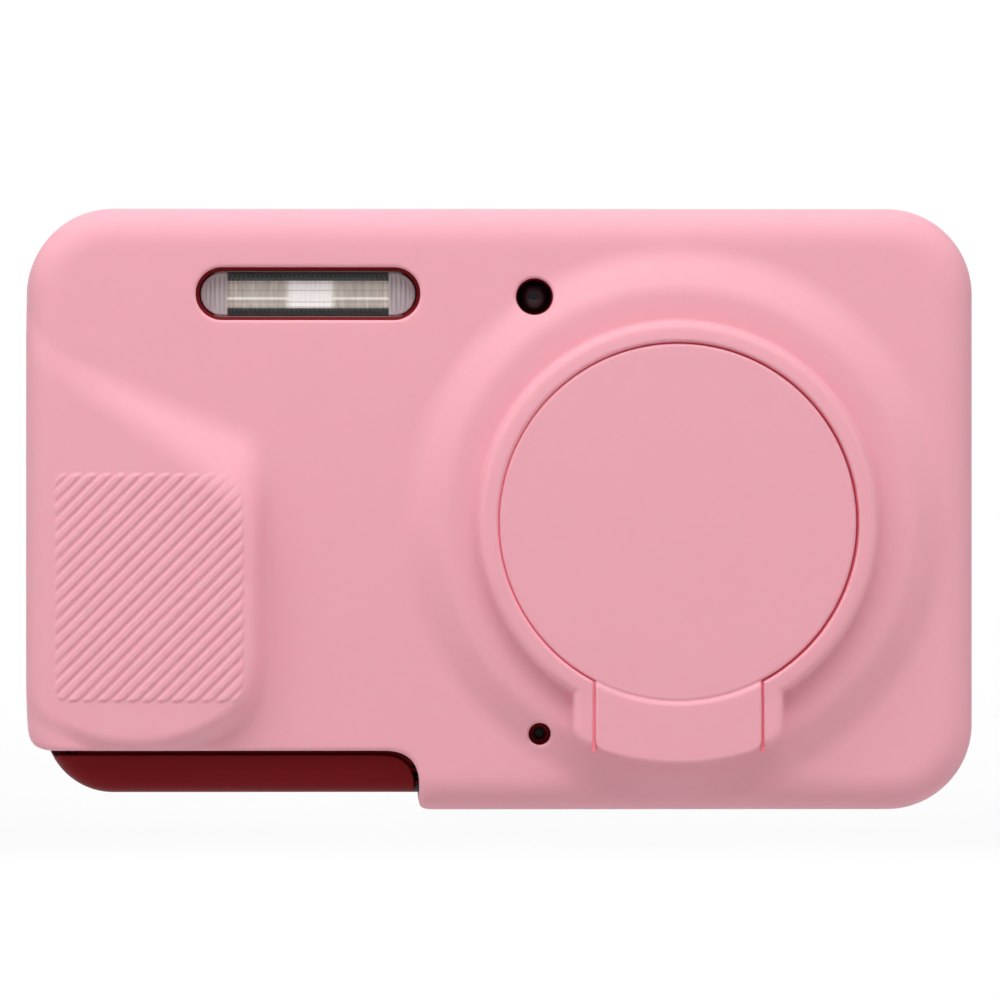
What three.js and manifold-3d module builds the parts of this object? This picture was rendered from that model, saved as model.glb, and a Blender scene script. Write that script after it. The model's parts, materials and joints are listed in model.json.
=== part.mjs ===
// A pocket digital camera in a moulded silicone sleeve with a fold-down lens cover.
//
// Millimetres. +Z is up, the lens looks along -Y, and +X is on the right of someone facing the lens.
// The origin is on the plane that the sleeve stands on, under the middle of the sleeve.
// Parts that turn or slide are drawn closed: cover shut, lens in, battery door shut, keys up.
import * as THREE from "three";
import { mergeVertices } from "three/addons/utils/BufferGeometryUtils.js";
import Module from "manifold-3d";

// ---------------------------------------------------------------------------------------------
// Driving dimensions
// ---------------------------------------------------------------------------------------------
const SLEEVE = { width: 95, height: 60.4, wall: 1.6, corner: 8.5, frontEdge: 3.4, backEdge: 2.6 };
const FIT = 0.1; // between the sleeve and the camera, all round
const SHELL = 1.2; // wall of the camera's own casing
const SEAM = 0.05; // gap at each casing joint
const MID_Z = SLEEVE.height / 2;

const BODY = {
  width: SLEEVE.width - 2 * (SLEEVE.wall + FIT),
  height: SLEEVE.height - 2 * (SLEEVE.wall + FIT),
  corner: 6.8,
  front: -7.8,
  back: 11.8,
  frontEdge: 3.2,
  backEdge: 2.4,
};
const BASE_Z = SLEEVE.wall + FIT; // underside of the camera
const TOP_Z = SLEEVE.height - BASE_Z; // top of the camera
const SIDE_X = BODY.width / 2;
const INNER = { front: BODY.front + SHELL, back: BODY.back - SHELL, base: BASE_Z + SHELL, top: TOP_Z - SHELL };
const BAND = { front: -4.2, back: 9.2 }; // the frame band lies between the front and rear shells

// Everything round the lens is drawn about the lens axis, in a group placed here.
const LENS = { x: 17.7, z: 28.9 };
const BULGE = { outer: 26.9, inner: 22.9, face: -11.3 }; // soft swelling of the sleeve round the lens
const COLLAR = { outer: 20.1, bore: 18.05, opening: 17.3, face: -13.4, floor: -11.15 };
const EARS = { half: 10.45, reach: 24.1 }; // cheeks beside the cover's tab
const COVER = { radius: 17.85, front: -12.9, back: -11.3, tabHalf: 8.3, knuckle: 2.1 };
const SLOT_HALF = 8.5; // slot between the ears
// The cover turns about this line, along X, in the front face of its tab.
const HINGE = { y: COLLAR.face, z: COVER.knuckle - EARS.reach };

const FLASH = { x: -19.3, z: 51.8, width: 21.6, height: 4.4 };
const LAMP = { x: 3.4, z: 51.5, radius: 1.65 };
const MIC = { x: 3.9, z: 7.7, hole: 0.55, opening: 1.1 };
// Corner of the sleeve left away under the battery door.
const CUTOUT = { right: -8.1, top: 6.0, width: 90, height: 20, corner: 2.6 };
const GRIP = { face: -12.5, left: -47, right: -24.9, bottom: 6.8, tipZ: 44.6, shoulderZ: 37.2 };
// Openings in the sleeve's top, over the controls and the speaker, and how far the rest are from a piece.
const TOP_OPENING = { x: -26.4, width: 31, depth: 15.2, corner: 5 };
const SPEAKER_SLOT = { width: 8.2, depth: 2.8 };
const REAR_LIP = 3.3; // how far the sleeve folds over the back
const ROOM = { flash: 0.35, lamp: 0.2, port: 2.1, portFront: 1.6, portBack: 2.8, lug: 1, bush: 1.5 };
// Slanting ribs moulded on the grip; pitch and width are measured across a rib.
const RIBS = { x0: -45, x1: -25.9, z0: 10.9, z1: 33.8, corner: 1.2, pitch: 1.05, width: 0.6, height: 0.3 };

const SHUTTER = { x: -33, y: 2, radius: 4.2 };
const POWER = { x: -17.5, y: 2, radius: 2.9 };
const SPEAKER = { x: 35.2, y: 2.5, radius: 4.3 };
const BUSH = { x: 17.7, y: 2.5, radius: 4.5 };
const DOOR = { x0: -41.65, x1: -10.95, y0: -3.75, axisY: 7.8, axisZ: 2.75, knuckle: 0.95, pin: 0.45 };
const LATCH = { x: -26.3, y: -1.6 };
const PORT = { y0: -1.5, y1: 5.9, z: 29, height: 14.7, thick: 0.9 };
const LUG = { y: 3, z: 46, width: 4.8, height: 8.8 };
const SCREEN = { x: 13.5, z: 30.7, width: 57.6, height: 44.8 };
const PAD = { x: -29.8, z: 21.5, outer: 8.4, inner: 4.4 };
const KEYS = {
  menu_button: { x: -36.8, z: 36.6, radius: 2.3 },
  play_button: { x: -22.8, z: 36.6, radius: 2.3 },
  delete_button: { x: -36.8, z: 8.4, radius: 2.3 },
  record_button: { x: -22.8, z: 46.6, radius: 2.6 },
};
// Screws: where the head's face sits, and the axis pointing into the camera.
const SCREWS = {
  screw_base_left: { at: [3, 6, BASE_Z], into: [0, 0, 1] },
  screw_base_right: { at: [30.5, 6, BASE_Z], into: [0, 0, 1] },
  screw_side_left: { at: [-SIDE_X, 6, 20], into: [1, 0, 0] },
  screw_side_right: { at: [SIDE_X, 6, 46], into: [-1, 0, 0] },
};
const SCREW = { head: 1.5, headDepth: 0.7, shank: 0.7, length: 4.2, clearance: 0.1 };

const FAR = 80; // longer than any cut through the camera
const ROUND = 36; // facets of a large circle
const SMALL = 16; // facets of a small circle

// ---------------------------------------------------------------------------------------------
// Solids
// ---------------------------------------------------------------------------------------------
const wasm = await Module();
wasm.setup();

// A closed three.js geometry as a manifold solid whose faces point out.
function solid(geometry) {
  const bare = geometry.index ? geometry.toNonIndexed() : geometry.clone();
  for (const name of Object.keys(bare.attributes)) {
    if (name !== "position") bare.deleteAttribute(name);
  }
  const merged = mergeVertices(bare, 1e-4);
  const corners = merged.index.array;
  const triangles = [];
  for (let i = 0; i < corners.length; i += 3) {
    const [a, b, c] = [corners[i], corners[i + 1], corners[i + 2]];
    if (a !== b && b !== c && c !== a) triangles.push([a, b, c]);
  }
  const build = (list) =>
    new wasm.Manifold(
      new wasm.Mesh({
        numProp: 3,
        vertProperties: merged.attributes.position.array,
        triVerts: new Uint32Array(list.flat()),
      }),
    );
  const made = build(triangles);
  return made.volume() > 0 ? made : build(triangles.map(([a, b, c]) => [a, c, b]));
}

function geometryOf(body) {
  const mesh = body.getMesh();
  const positions = new Float32Array(mesh.numVert * 3);
  for (let i = 0; i < mesh.numVert; i++) {
    positions.set(mesh.vertProperties.subarray(i * mesh.numProp, i * mesh.numProp + 3), i * 3);
  }
  const geometry = new THREE.BufferGeometry();
  geometry.setAttribute("position", new THREE.BufferAttribute(positions, 3));
  geometry.setIndex(new THREE.BufferAttribute(new Uint32Array(mesh.triVerts), 1));
  geometry.computeVertexNormals();
  return geometry;
}

const join = (...bodies) => bodies.reduce((all, body) => all.add(body));
const cut = (body, ...tools) => tools.reduce((left, tool) => left.subtract(tool), body);

// A box between two corners.
function box(x0, x1, y0, y1, z0, z1) {
  const geometry = new THREE.BoxGeometry(x1 - x0, y1 - y0, z1 - z0);
  geometry.translate((x0 + x1) / 2, (y0 + y1) / 2, (z0 + z1) / 2);
  return solid(geometry);
}

// Outlines, as three.js shapes. A rectangle whose radius is half its height is a stadium.
function roundRect(cx, cy, width, height, radius) {
  const [hx, hy] = [width / 2 - radius, height / 2 - radius];
  const shape = new THREE.Shape();
  shape.absarc(cx + hx, cy + hy, radius, 0, Math.PI / 2);
  shape.absarc(cx - hx, cy + hy, radius, Math.PI / 2, Math.PI);
  shape.absarc(cx - hx, cy - hy, radius, Math.PI, 1.5 * Math.PI);
  shape.absarc(cx + hx, cy - hy, radius, 1.5 * Math.PI, 2 * Math.PI);
  return shape;
}

function polygon(points) {
  return new THREE.Shape(points.map(([x, y]) => new THREE.Vector2(x, y)));
}

function extrude(shape, length, bevel, curveSegments) {
  return new THREE.ExtrudeGeometry(shape, {
    depth: length - 2 * bevel,
    bevelEnabled: bevel > 0,
    bevelThickness: bevel,
    bevelSize: bevel,
    bevelOffset: -bevel,
    bevelSegments: 3,
    curveSegments,
  }).translate(0, 0, bevel);
}

// A shape drawn in X and Z, running from y0 to y1; one drawn in X and Y, from z0 to z1;
// and one drawn in Y and Z, from x0 to x1.
function slabY(shape, y0, y1, bevel = 0, segments = 3) {
  return solid(extrude(shape, y1 - y0, bevel, segments).rotateX(Math.PI / 2).translate(0, y1, 0));
}
function slabZ(shape, z0, z1, bevel = 0, segments = 3) {
  return solid(extrude(shape, z1 - z0, bevel, segments).translate(0, 0, z0));
}
function slabX(shape, x0, x1, bevel = 0, segments = 3) {
  const turned = extrude(shape, x1 - x0, bevel, segments).rotateX(Math.PI / 2).rotateZ(Math.PI / 2);
  return solid(turned.translate(x0, 0, 0));
}

// A stadium-shaped slab across the lens's direction.
function stadiumY(cx, cz, width, height, y0, y1) {
  return slabY(roundRect(cx, cz, width, height, height / 2 - 0.01), y0, y1);
}

// A turned piece. The profile's points are [radius, place along the axis].
const TURNS = {
  x: (g) => g.rotateZ(-Math.PI / 2),
  y: (g) => g,
  z: (g) => g.rotateX(Math.PI / 2),
};
function turn(axis, profile, at = [0, 0, 0], segments = ROUND) {
  const points = profile.map(([radius, along]) => new THREE.Vector2(radius, along));
  return solid(TURNS[axis](new THREE.LatheGeometry(points, segments)).translate(...at));
}
function rod(axis, radius, from, to, at = [0, 0, 0], segments = SMALL) {
  return turn(axis, [[0, from], [radius, from], [radius, to], [0, to]], at, segments);
}
function ring(axis, inner, outer, from, to, at = [0, 0, 0], segments = ROUND) {
  const loop = [[inner, from], [outer, from], [outer, to], [inner, to], [inner, from]];
  return turn(axis, loop, at, segments);
}

// A rounded slab with one edge radius in front and another behind, centred on the camera's middle.
function casing(width, height, corner, front, back, frontEdge, backEdge) {
  const outline = roundRect(0, MID_Z, width, height, corner);
  return slabY(outline, front, FAR, frontEdge, 4).intersect(slabY(outline, -FAR, back, backEdge, 4));
}

// ---------------------------------------------------------------------------------------------
// Materials and the scene graph
// ---------------------------------------------------------------------------------------------
const finish = (color, roughness, metalness = 0) =>
  new THREE.MeshStandardMaterial({ color, roughness, metalness });
const MATERIALS = {
  silicone: finish(0xec9fae, 0.6),
  red: finish(0x7d1218, 0.35, 0.3),
  band: finish(0x8d8f93, 0.3, 0.9),
  black: finish(0x17181a, 0.45),
  steel: finish(0xb9bcc0, 0.3, 1),
  brass: finish(0xc9a04e, 0.35, 1),
  glass: finish(0x20303a, 0.05),
  clear: finish(0xe6ecee, 0.1),
  chrome: finish(0xe4e6e8, 0.12, 1),
  board: finish(0x1f6b3a, 0.5),
  cell: finish(0x3a4048, 0.5),
  label: finish(0x2b3a66, 0.4),
  keys: finish(0x2a2b2e, 0.5),
};

const camera = new THREE.Group();
const group = (x = 0, y = 0, z = 0) => {
  const made = new THREE.Group();
  made.position.set(x, y, z);
  camera.add(made);
  return made;
};
function part(parent, name, material, body) {
  const mesh = new THREE.Mesh(geometryOf(body), MATERIALS[material]);
  mesh.name = name;
  parent.add(mesh);
}

// ---------------------------------------------------------------------------------------------
// Silicone sleeve
// ---------------------------------------------------------------------------------------------
const sleeveFront = BODY.front - FIT - SLEEVE.wall;
const sleeveBack = -COLLAR.face; // the rear lip is as far behind the origin as the collar is in front

// The collar with its two ears, before its openings are cut. About the lens axis.
function collarBlank() {
  const rim = turn("y", [
    [0, sleeveFront], [COLLAR.outer, sleeveFront], [COLLAR.outer, COLLAR.face + 0.7],
    [COLLAR.outer - 0.25, COLLAR.face + 0.2], [COLLAR.outer - 0.7, COLLAR.face], [0, COLLAR.face],
  ]);
  const ears = slabY(roundRect(0, -EARS.reach / 2, 2 * EARS.half, EARS.reach + 3, 1.5), COLLAR.face, sleeveFront);
  return rim.add(ears.intersect(rod("y", EARS.reach, COLLAR.face, sleeveFront, [0, 0, 0], ROUND)));
}

function bulge() {
  const rise = BULGE.outer - BULGE.inner;
  return turn("y", [
    [0, sleeveFront + 1], [BULGE.outer, sleeveFront + 1], [BULGE.outer, sleeveFront],
    [BULGE.outer - 0.3 * rise, sleeveFront - 0.35], [BULGE.inner + 0.3 * rise, BULGE.face + 0.35],
    [BULGE.inner, BULGE.face], [0, BULGE.face],
  ]);
}

// The finger grip is a wedge that rises from the sleeve's side to a steep inner flank.
function wedge() {
  const outline = polygon([
    [GRIP.left, GRIP.bottom + 2], [GRIP.left + 3, GRIP.bottom], [GRIP.right - 4, GRIP.bottom],
    [GRIP.right - 0.8, GRIP.bottom + 2.6], [GRIP.right, GRIP.bottom + 6], [GRIP.right, GRIP.shoulderZ - 3],
    [GRIP.right - 2.4, GRIP.shoulderZ], [GRIP.left + 2.8, GRIP.tipZ],
  ]);
  const section = polygon([
    [GRIP.left - 1, sleeveFront + 2], [GRIP.left + 2.5, sleeveFront + 0.1], [GRIP.right - 5, GRIP.face],
    [GRIP.right - 2, GRIP.face], [GRIP.right + 0.6, sleeveFront + 0.1], [GRIP.right + 0.6, sleeveFront + 2],
  ]);
  return slabY(outline, GRIP.face, sleeveFront + 1.2).intersect(slabZ(section, 0, SLEEVE.height));
}

// The ribs stand on the wedge's own surface: they are slices of the wedge moved forward.
function ribs() {
  const [cx, cz] = [(RIBS.x0 + RIBS.x1) / 2, (RIBS.z0 + RIBS.z1) / 2];
  const pad = slabY(roundRect(cx, cz, RIBS.x1 - RIBS.x0, RIBS.z1 - RIBS.z0, RIBS.corner), -FAR, FAR);
  const count = Math.ceil((RIBS.x1 - RIBS.x0 + RIBS.z1 - RIBS.z0) / Math.SQRT2 / RIBS.pitch);
  const bars = [];
  for (let i = 0; i < count; i++) {
    const across = (i - (count - 1) / 2) * RIBS.pitch;
    bars.push(box(-20, 20, GRIP.face - 2, sleeveFront + 1, across - RIBS.width / 2, across + RIBS.width / 2));
  }
  const slant = join(...bars).rotate([0, -45, 0]).translate([cx, 0, cz]);
  return wedge().translate([0, -RIBS.height, 0]).intersect(slant).intersect(pad);
}

function sleeve() {
  const { width, height, corner, frontEdge, backEdge } = SLEEVE;
  const at = [LENS.x, 0, LENS.z];
  const outside = join(
    casing(width, height, corner, sleeveFront, sleeveBack, frontEdge, backEdge),
    bulge().translate(at),
    collarBlank().translate(at),
    wedge(),
    ribs(),
  );
  const pocket = casing(
    BODY.width + 2 * FIT, BODY.height + 2 * FIT, BODY.corner + FIT,
    BODY.front - FIT, BODY.back + FIT, BODY.frontEdge + FIT, BODY.backEdge + FIT,
  );
  const rearOpening = slabY(
    roundRect(0, MID_Z, width - 2 * REAR_LIP, height - 2 * REAR_LIP, corner - REAR_LIP + 0.2), INNER.back, FAR,
  );
  const coverSeat = join(
    rod("y", COLLAR.opening, -FAR, 0, at, ROUND),
    rod("y", COLLAR.bore, -FAR, COLLAR.floor, at, ROUND),
    box(LENS.x - SLOT_HALF, LENS.x + SLOT_HALF, -FAR, COLLAR.floor, LENS.z - EARS.reach - 1, LENS.z - 12),
  );
  const frontOpenings = join(
    stadiumY(FLASH.x, FLASH.z, FLASH.width + 2 * ROOM.flash, FLASH.height + 2 * ROOM.flash, -FAR, 0),
    rod("y", LAMP.radius + ROOM.lamp, -FAR, 0, [LAMP.x, 0, LAMP.z]),
    rod("y", MIC.opening, -FAR, 0, [MIC.x, 0, MIC.z]),
  );
  const { width: cutWidth, height: cutHeight } = CUTOUT;
  const doorCutout = slabY(
    roundRect(CUTOUT.right - cutWidth / 2, CUTOUT.top - cutHeight / 2, cutWidth, cutHeight, CUTOUT.corner),
    -FAR, FAR,
  );
  const { x: topX, width: topWidth, depth: topDepth, corner: topCorner } = TOP_OPENING;
  const { width: slotWidth, depth: slotDepth } = SPEAKER_SLOT;
  const topOpenings = join(
    slabZ(roundRect(topX, SHUTTER.y, topWidth, topDepth, topCorner), INNER.top, FAR),
    slabZ(roundRect(SPEAKER.x, SPEAKER.y, slotWidth, slotDepth, slotDepth / 2 - 0.01), INNER.top, FAR),
  );
  const [portFront, portBack] = [PORT.y0 - ROOM.portFront, PORT.y1 + ROOM.portBack];
  const portOpening = slabX(
    roundRect((portFront + portBack) / 2, PORT.z, portBack - portFront, PORT.height + 2 * ROOM.port, 3),
    SIDE_X - 2, FAR,
  );
  const lugOpening = slabX(
    roundRect(LUG.y, LUG.z, LUG.width + 2 * ROOM.lug, LUG.height + 2 * ROOM.lug, 2.4), -FAR, 2 - SIDE_X,
  );
  const bushOpening = rod("z", BUSH.radius + ROOM.bush, -1, BASE_Z + 1, [BUSH.x, BUSH.y, 0], 32);
  return cut(
    outside, pocket, rearOpening, coverSeat, frontOpenings, doorCutout,
    topOpenings, portOpening, lugOpening, bushOpening,
  );
}

// Cover: a disc that sits a little below the collar, a tab that the ears flank, and a half skirt
// that slips round the lens ring. The tab's foot is round, so that it can roll in its slot.
function cover() {
  const disc = turn("y", [
    [0, COVER.front], [COVER.radius - 0.4, COVER.front], [COVER.radius, COVER.front + 0.4],
    [COVER.radius, COVER.back], [0, COVER.back],
  ]);
  const reach = rod("y", EARS.reach, COLLAR.face, COVER.back, [0, 0, 0], ROUND);
  const hollow = rod("y", COVER.radius - 0.5, -FAR, FAR, [0, 0, 0], ROUND);
  const strap = box(-COVER.tabHalf, COVER.tabHalf, COLLAR.face, COVER.back, -EARS.reach, -12).intersect(reach);
  const aboveHinge = box(-20, 20, -20, 0, HINGE.z, 0);
  const foot = rod("x", COVER.knuckle, -20, 20, [0, HINGE.y, HINGE.z], 32);
  const tab = strap.subtract(hollow).intersect(aboveHinge.add(foot));
  const skirt = ring("y", 15.9, 16.9, COVER.back - 0.2, -9.4).intersect(box(-20, 20, -20, 0, 0.5, 20));
  return join(disc, tab, skirt);
}

const silicone = group();
part(silicone, "silicone_sleeve", "silicone", sleeve());

// ---------------------------------------------------------------------------------------------
// Camera casing
// ---------------------------------------------------------------------------------------------
const bodyOutside = casing(
  BODY.width, BODY.height, BODY.corner, BODY.front, BODY.back, BODY.frontEdge, BODY.backEdge,
);
const bodyInside = casing(
  BODY.width - 2 * SHELL, BODY.height - 2 * SHELL, BODY.corner - SHELL,
  INNER.front, INNER.back, BODY.frontEdge - 1, BODY.backEdge - 1,
);
const bodyWall = bodyOutside.subtract(bodyInside);
const between = (y0, y1) => bodyWall.intersect(box(-FAR, FAR, y0, y1, -FAR, FAR));

// Room for a screw's shank and its sunk head.
function screwRoom({ at, into }) {
  const axis = into[0] ? "x" : "z";
  const way = into[0] || into[2];
  const start = axis === "x" ? at[0] : at[2];
  const centre = axis === "x" ? [0, at[1], at[2]] : [at[0], at[1], 0];
  const span = (a, b) => [Math.min(start + way * a, start + way * b), Math.max(start + way * a, start + way * b)];
  return join(
    rod(axis, SCREW.head + SCREW.clearance, ...span(-3, SCREW.headDepth + 0.05), centre, 16),
    rod(axis, SCREW.shank + SCREW.clearance, ...span(0, SCREW.length + 0.6), centre, 12),
  );
}
const screwRooms = Object.values(SCREWS).map(screwRoom);

const casingParts = group();
part(
  casingParts, "front_shell", "red",
  cut(
    between(-FAR, BAND.front - SEAM),
    rod("y", 13.6, -FAR, 0, [LENS.x, 0, LENS.z], ROUND),
    stadiumY(FLASH.x, FLASH.z, FLASH.width + 0.2, FLASH.height + 0.2, -FAR, 0),
    rod("y", LAMP.radius + 0.06, -FAR, 0, [LAMP.x, 0, LAMP.z]),
    rod("y", MIC.hole, -FAR, 0, [MIC.x, 0, MIC.z], 12),
  ),
);

// Small holes over the speaker, in a row.
const speakerHoles = [-2, -1, 0, 1, 2].map((step) =>
  rod("z", 0.45, INNER.top - 1, FAR, [SPEAKER.x + 1.3 * step, SPEAKER.y, 0], 10),
);
const hingeLugs = [DOOR.x0 - 0.9, DOOR.x1 + 0.9].map((x) =>
  box(x - 0.75, x + 0.75, DOOR.axisY - 1, DOOR.axisY + 1.2, INNER.base - 0.3, DOOR.axisZ + 1.1),
);
part(
  casingParts, "frame_band", "band",
  cut(
    join(between(BAND.front, BAND.back), ...hingeLugs),
    rod("z", 5.35, INNER.top - 1, FAR, [SHUTTER.x, SHUTTER.y, 0], 32),
    rod("z", POWER.radius + 0.15, INNER.top - 1, FAR, [POWER.x, POWER.y, 0], 24),
    ...speakerHoles,
    rod("z", BUSH.radius + 0.1, -1, INNER.base + 1, [BUSH.x, BUSH.y, 0], 32),
    box(DOOR.x0 - 0.15, DOOR.x1 + 0.15, DOOR.y0 - 0.15, BAND.back + 1, -1, INNER.base + 1),
    rod("x", DOOR.pin + 0.05, DOOR.x0 - 1.2, DOOR.x1 + 1.2, [0, DOOR.axisY, DOOR.axisZ], 16),
    slabX(roundRect((PORT.y0 + PORT.y1) / 2, PORT.z, PORT.y1 - PORT.y0 + 0.2, PORT.height + 0.2, 1.5), 40, FAR),
    slabX(roundRect(LUG.y, LUG.z, LUG.width, LUG.height, 1.6), -FAR, -40),
    ...screwRooms,
  ),
);

const keyHoles = Object.values(KEYS).map(({ x, z, radius }) =>
  rod("y", radius + 0.12, 9, FAR, [x, 0, z], 24),
);
part(
  casingParts, "rear_shell", "red",
  cut(
    between(BAND.back + SEAM, FAR),
    slabY(roundRect(SCREEN.x, SCREEN.z, SCREEN.width + 0.3, SCREEN.height + 0.3, 1.6), 9, FAR),
    rod("y", PAD.outer + 0.25, 9, FAR, [PAD.x, 0, PAD.z], ROUND),
    ...keyHoles,
  ),
);

// Screws: a pan head with a crossed recess, and a plain shank standing for the thread.
for (const [name, { at, into }] of Object.entries(SCREWS)) {
  const { head, headDepth, shank, length } = SCREW;
  const screw = cut(
    join(
      rod("z", head, 0, headDepth, [0, 0, 0], 16),
      rod("z", shank, headDepth / 2, length, [0, 0, 0], 12),
    ),
    box(-0.85, 0.85, -0.18, 0.18, -1, 0.35),
    box(-0.18, 0.18, -0.85, 0.85, -1, 0.35),
  );
  const placed = group(...at.map((value, i) => value + 0.05 * into[i]));
  placed.quaternion.setFromUnitVectors(new THREE.Vector3(0, 0, 1), new THREE.Vector3(...into));
  part(placed, name, "steel", screw);
}

// Chassis plate behind the lens, with a threaded boss for each screw.
const bosses = [
  box(0.8, 5.2, 4.2, 7.6, INNER.base + 0.1, 7.4),
  box(28.3, 32.7, 4.2, 7.6, INNER.base + 0.1, 7.4),
  box(-SIDE_X + SHELL + 0.1, -40.6, 4.4, 7.6, 18, 22),
  box(40.6, SIDE_X - SHELL - 0.1, 4.4, 7.6, 44, 48),
];
part(
  casingParts, "chassis", "steel",
  cut(
    join(slabY(roundRect(0, MID_Z + 0.6, 88.4, 51.4, 4.6), 7.3, 8.1), ...bosses),
    slabY(roundRect(-26, 26, 14, 18, 3), 5, 9),
    ...screwRooms,
  ),
);

part(
  casingParts, "tripod_bush", "steel",
  turn("z", [
    [3.1, BASE_Z], [BUSH.radius, BASE_Z], [BUSH.radius, INNER.base + 0.1], [5.6, INNER.base + 0.1],
    [5.6, 4.2], [BUSH.radius, 4.2], [BUSH.radius, 8.2], [0, 8.2], [0, 7.2], [3.1, 7.2], [3.1, BASE_Z],
  ], [BUSH.x, BUSH.y, 0], 32),
);

// Strap lug: a shallow cup behind the side wall, crossed by a post.
const lugWall = -SIDE_X + SHELL + 0.1;
part(
  casingParts, "strap_lug", "steel",
  join(
    cut(
      box(lugWall, -42.45, LUG.y - 2.9, LUG.y + 2.9, LUG.z - 5, LUG.z + 5),
      box(-FAR, -43.1, LUG.y - 2.2, LUG.y + 2.2, LUG.z - 4.2, LUG.z + 4.2),
    ),
    rod("z", 0.8, LUG.z - 4.3, LUG.z + 4.3, [-SIDE_X + 1, LUG.y, 0], 16).subtract(
      box(-FAR, -SIDE_X + 0.3, -FAR, FAR, 0, FAR),
    ),
    box(-SIDE_X + 0.6, -43.6, LUG.y - 0.6, LUG.y + 0.6, LUG.z - 4.35, LUG.z - 3.6),
    box(-SIDE_X + 0.6, -43.6, LUG.y - 0.6, LUG.y + 0.6, LUG.z + 3.6, LUG.z + 4.35),
  ),
);

// ---------------------------------------------------------------------------------------------
// Lens, about its own axis
// ---------------------------------------------------------------------------------------------
const lens = group(LENS.x, 0, LENS.z);
part(lens, "lens_cover", "silicone", cover());

part(
  lens, "lens_base_ring", "band",
  turn("y", [
    [13.15, -10.3], [13.6, -10.8], [15.1, -10.8], [15.6, -10.2], [15.6, BODY.front - SEAM],
    [13.5, BODY.front - SEAM], [13.5, INNER.front], [13.15, INNER.front], [13.15, -10.3],
  ]),
);

const BARREL = { outer: 12.9, step: 11.8, inner: 11.7, bore: 10.7 };
part(
  lens, "lens_housing", "black",
  cut(
    join(
      rod("y", 16.5, -6.4, 5.2, [0, 0, 0], ROUND),
      slabY(roundRect(0, 0, 34, 34, 3), 3.8, 5.2),
    ),
    rod("y", 13.1, -FAR, 1.4, [0, 0, 0], ROUND),
    ring("y", 6.2, 13.1, 1.3, 3.8),
    rod("y", 4.9, -FAR, 3.4, [0, 0, 0], 32),
    box(-5.8, 5.8, 3, FAR, -4.6, 4.6),
  ),
);
part(lens, "lens_barrel_outer", "band", ring("y", BARREL.step, BARREL.outer, -10.6, 1));
part(lens, "lens_barrel_inner", "black", ring("y", BARREL.bore, BARREL.inner, -10.3, -1));
part(
  lens, "lens_front_ring", "black",
  turn("y", [
    [4.7, -9.75], [5.6, -10.0], [9.8, -10.25], [10.6, -10.25], [10.6, -9.55], [4.7, -9.55], [4.7, -9.75],
  ]),
);

// The lens barrier: two half-disc blades on pins, one each side.
const PIVOT = 8.7;
const BLADE = { front: -9.38, back: -9.08, radius: 5.1, halfGap: 0.04 };
part(
  lens, "front_lens_holder", "black",
  join(
    ring("y", 5.3, 10.6, -8.9, -4.2),
    rod("y", 0.45, -9.45, -8.8, [-PIVOT, 0, 0], 12),
    rod("y", 0.45, -9.45, -8.8, [PIVOT, 0, 0], 12),
  ),
);
function barrierBlade(side) {
  const { front, back, radius, halfGap } = BLADE;
  const leaf = rod("y", radius, front, back, [0, 0, 0], 32).intersect(box(-FAR, FAR, -FAR, FAR, halfGap, FAR));
  const arm = slabY(polygon([[-PIVOT - 0.4, 1.2], [-PIVOT, 0.2], [-4, halfGap], [-4, 2.6]]), front, back);
  const eye = rod("y", 1.3, front, back, [-PIVOT, 0, 0], 16);
  const blade = join(leaf, arm, eye).subtract(rod("y", 0.55, -FAR, FAR, [-PIVOT, 0, 0], 12));
  return side === "upper" ? blade : blade.rotate([0, 180, 0]);
}
part(lens, "barrier_blade_upper", "steel", barrierBlade("upper"));
part(lens, "barrier_blade_lower", "steel", barrierBlade("lower"));

// A lens element: two spherical faces, given as sags at the rim.
function element(radius, front, back, frontSag, backSag) {
  const rings = 3;
  const profile = [];
  for (let i = 0; i <= rings; i++) {
    const share = i / rings;
    profile.push([radius * share, front + frontSag * share * share]);
  }
  for (let i = rings; i >= 0; i--) {
    const share = i / rings;
    profile.push([radius * share, back - backSag * share * share]);
  }
  return turn("y", profile, [0, 0, 0], 24);
}
part(lens, "front_lens", "glass", element(5.2, -8.75, -5, 1.1, 0.6));
part(lens, "middle_lens_holder", "black", ring("y", 5.5, BARREL.step - 0.1, -0.7, 0.9));
part(lens, "middle_lens", "glass", element(5.4, -0.7, 0.9, -0.5, -0.5));
part(lens, "rear_lens", "glass", element(4.8, 1.5, 3.3, 0.5, 0.2));

part(lens, "image_sensor", "black", box(-5.5, 5.5, 3.95, 5.4, -4.3, 4.3));
part(
  lens, "sensor_plate", "steel",
  cut(
    join(
      slabY(roundRect(0, 0, 24, 22, 2), 5.5, 6.3),
      box(-9, 9, 6.2, 6.9, -8, 8),
    ),
    rod("y", 1, 5, 8, [-10, 0, 8.8], 12),
    rod("y", 1, 5, 8, [10, 0, -8.8], 12),
  ),
);
part(
  lens, "zoom_motor", "steel",
  join(
    rod("y", 3.9, -5.5, 4.2, [21.5, 0, -16.3], 32),
    rod("y", 1.3, 4.1, 5, [21.5, 0, -16.3], 16),
    rod("y", 0.5, -6.4, -5.4, [21.5, 0, -16.3], 12),
  ),
);

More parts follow.
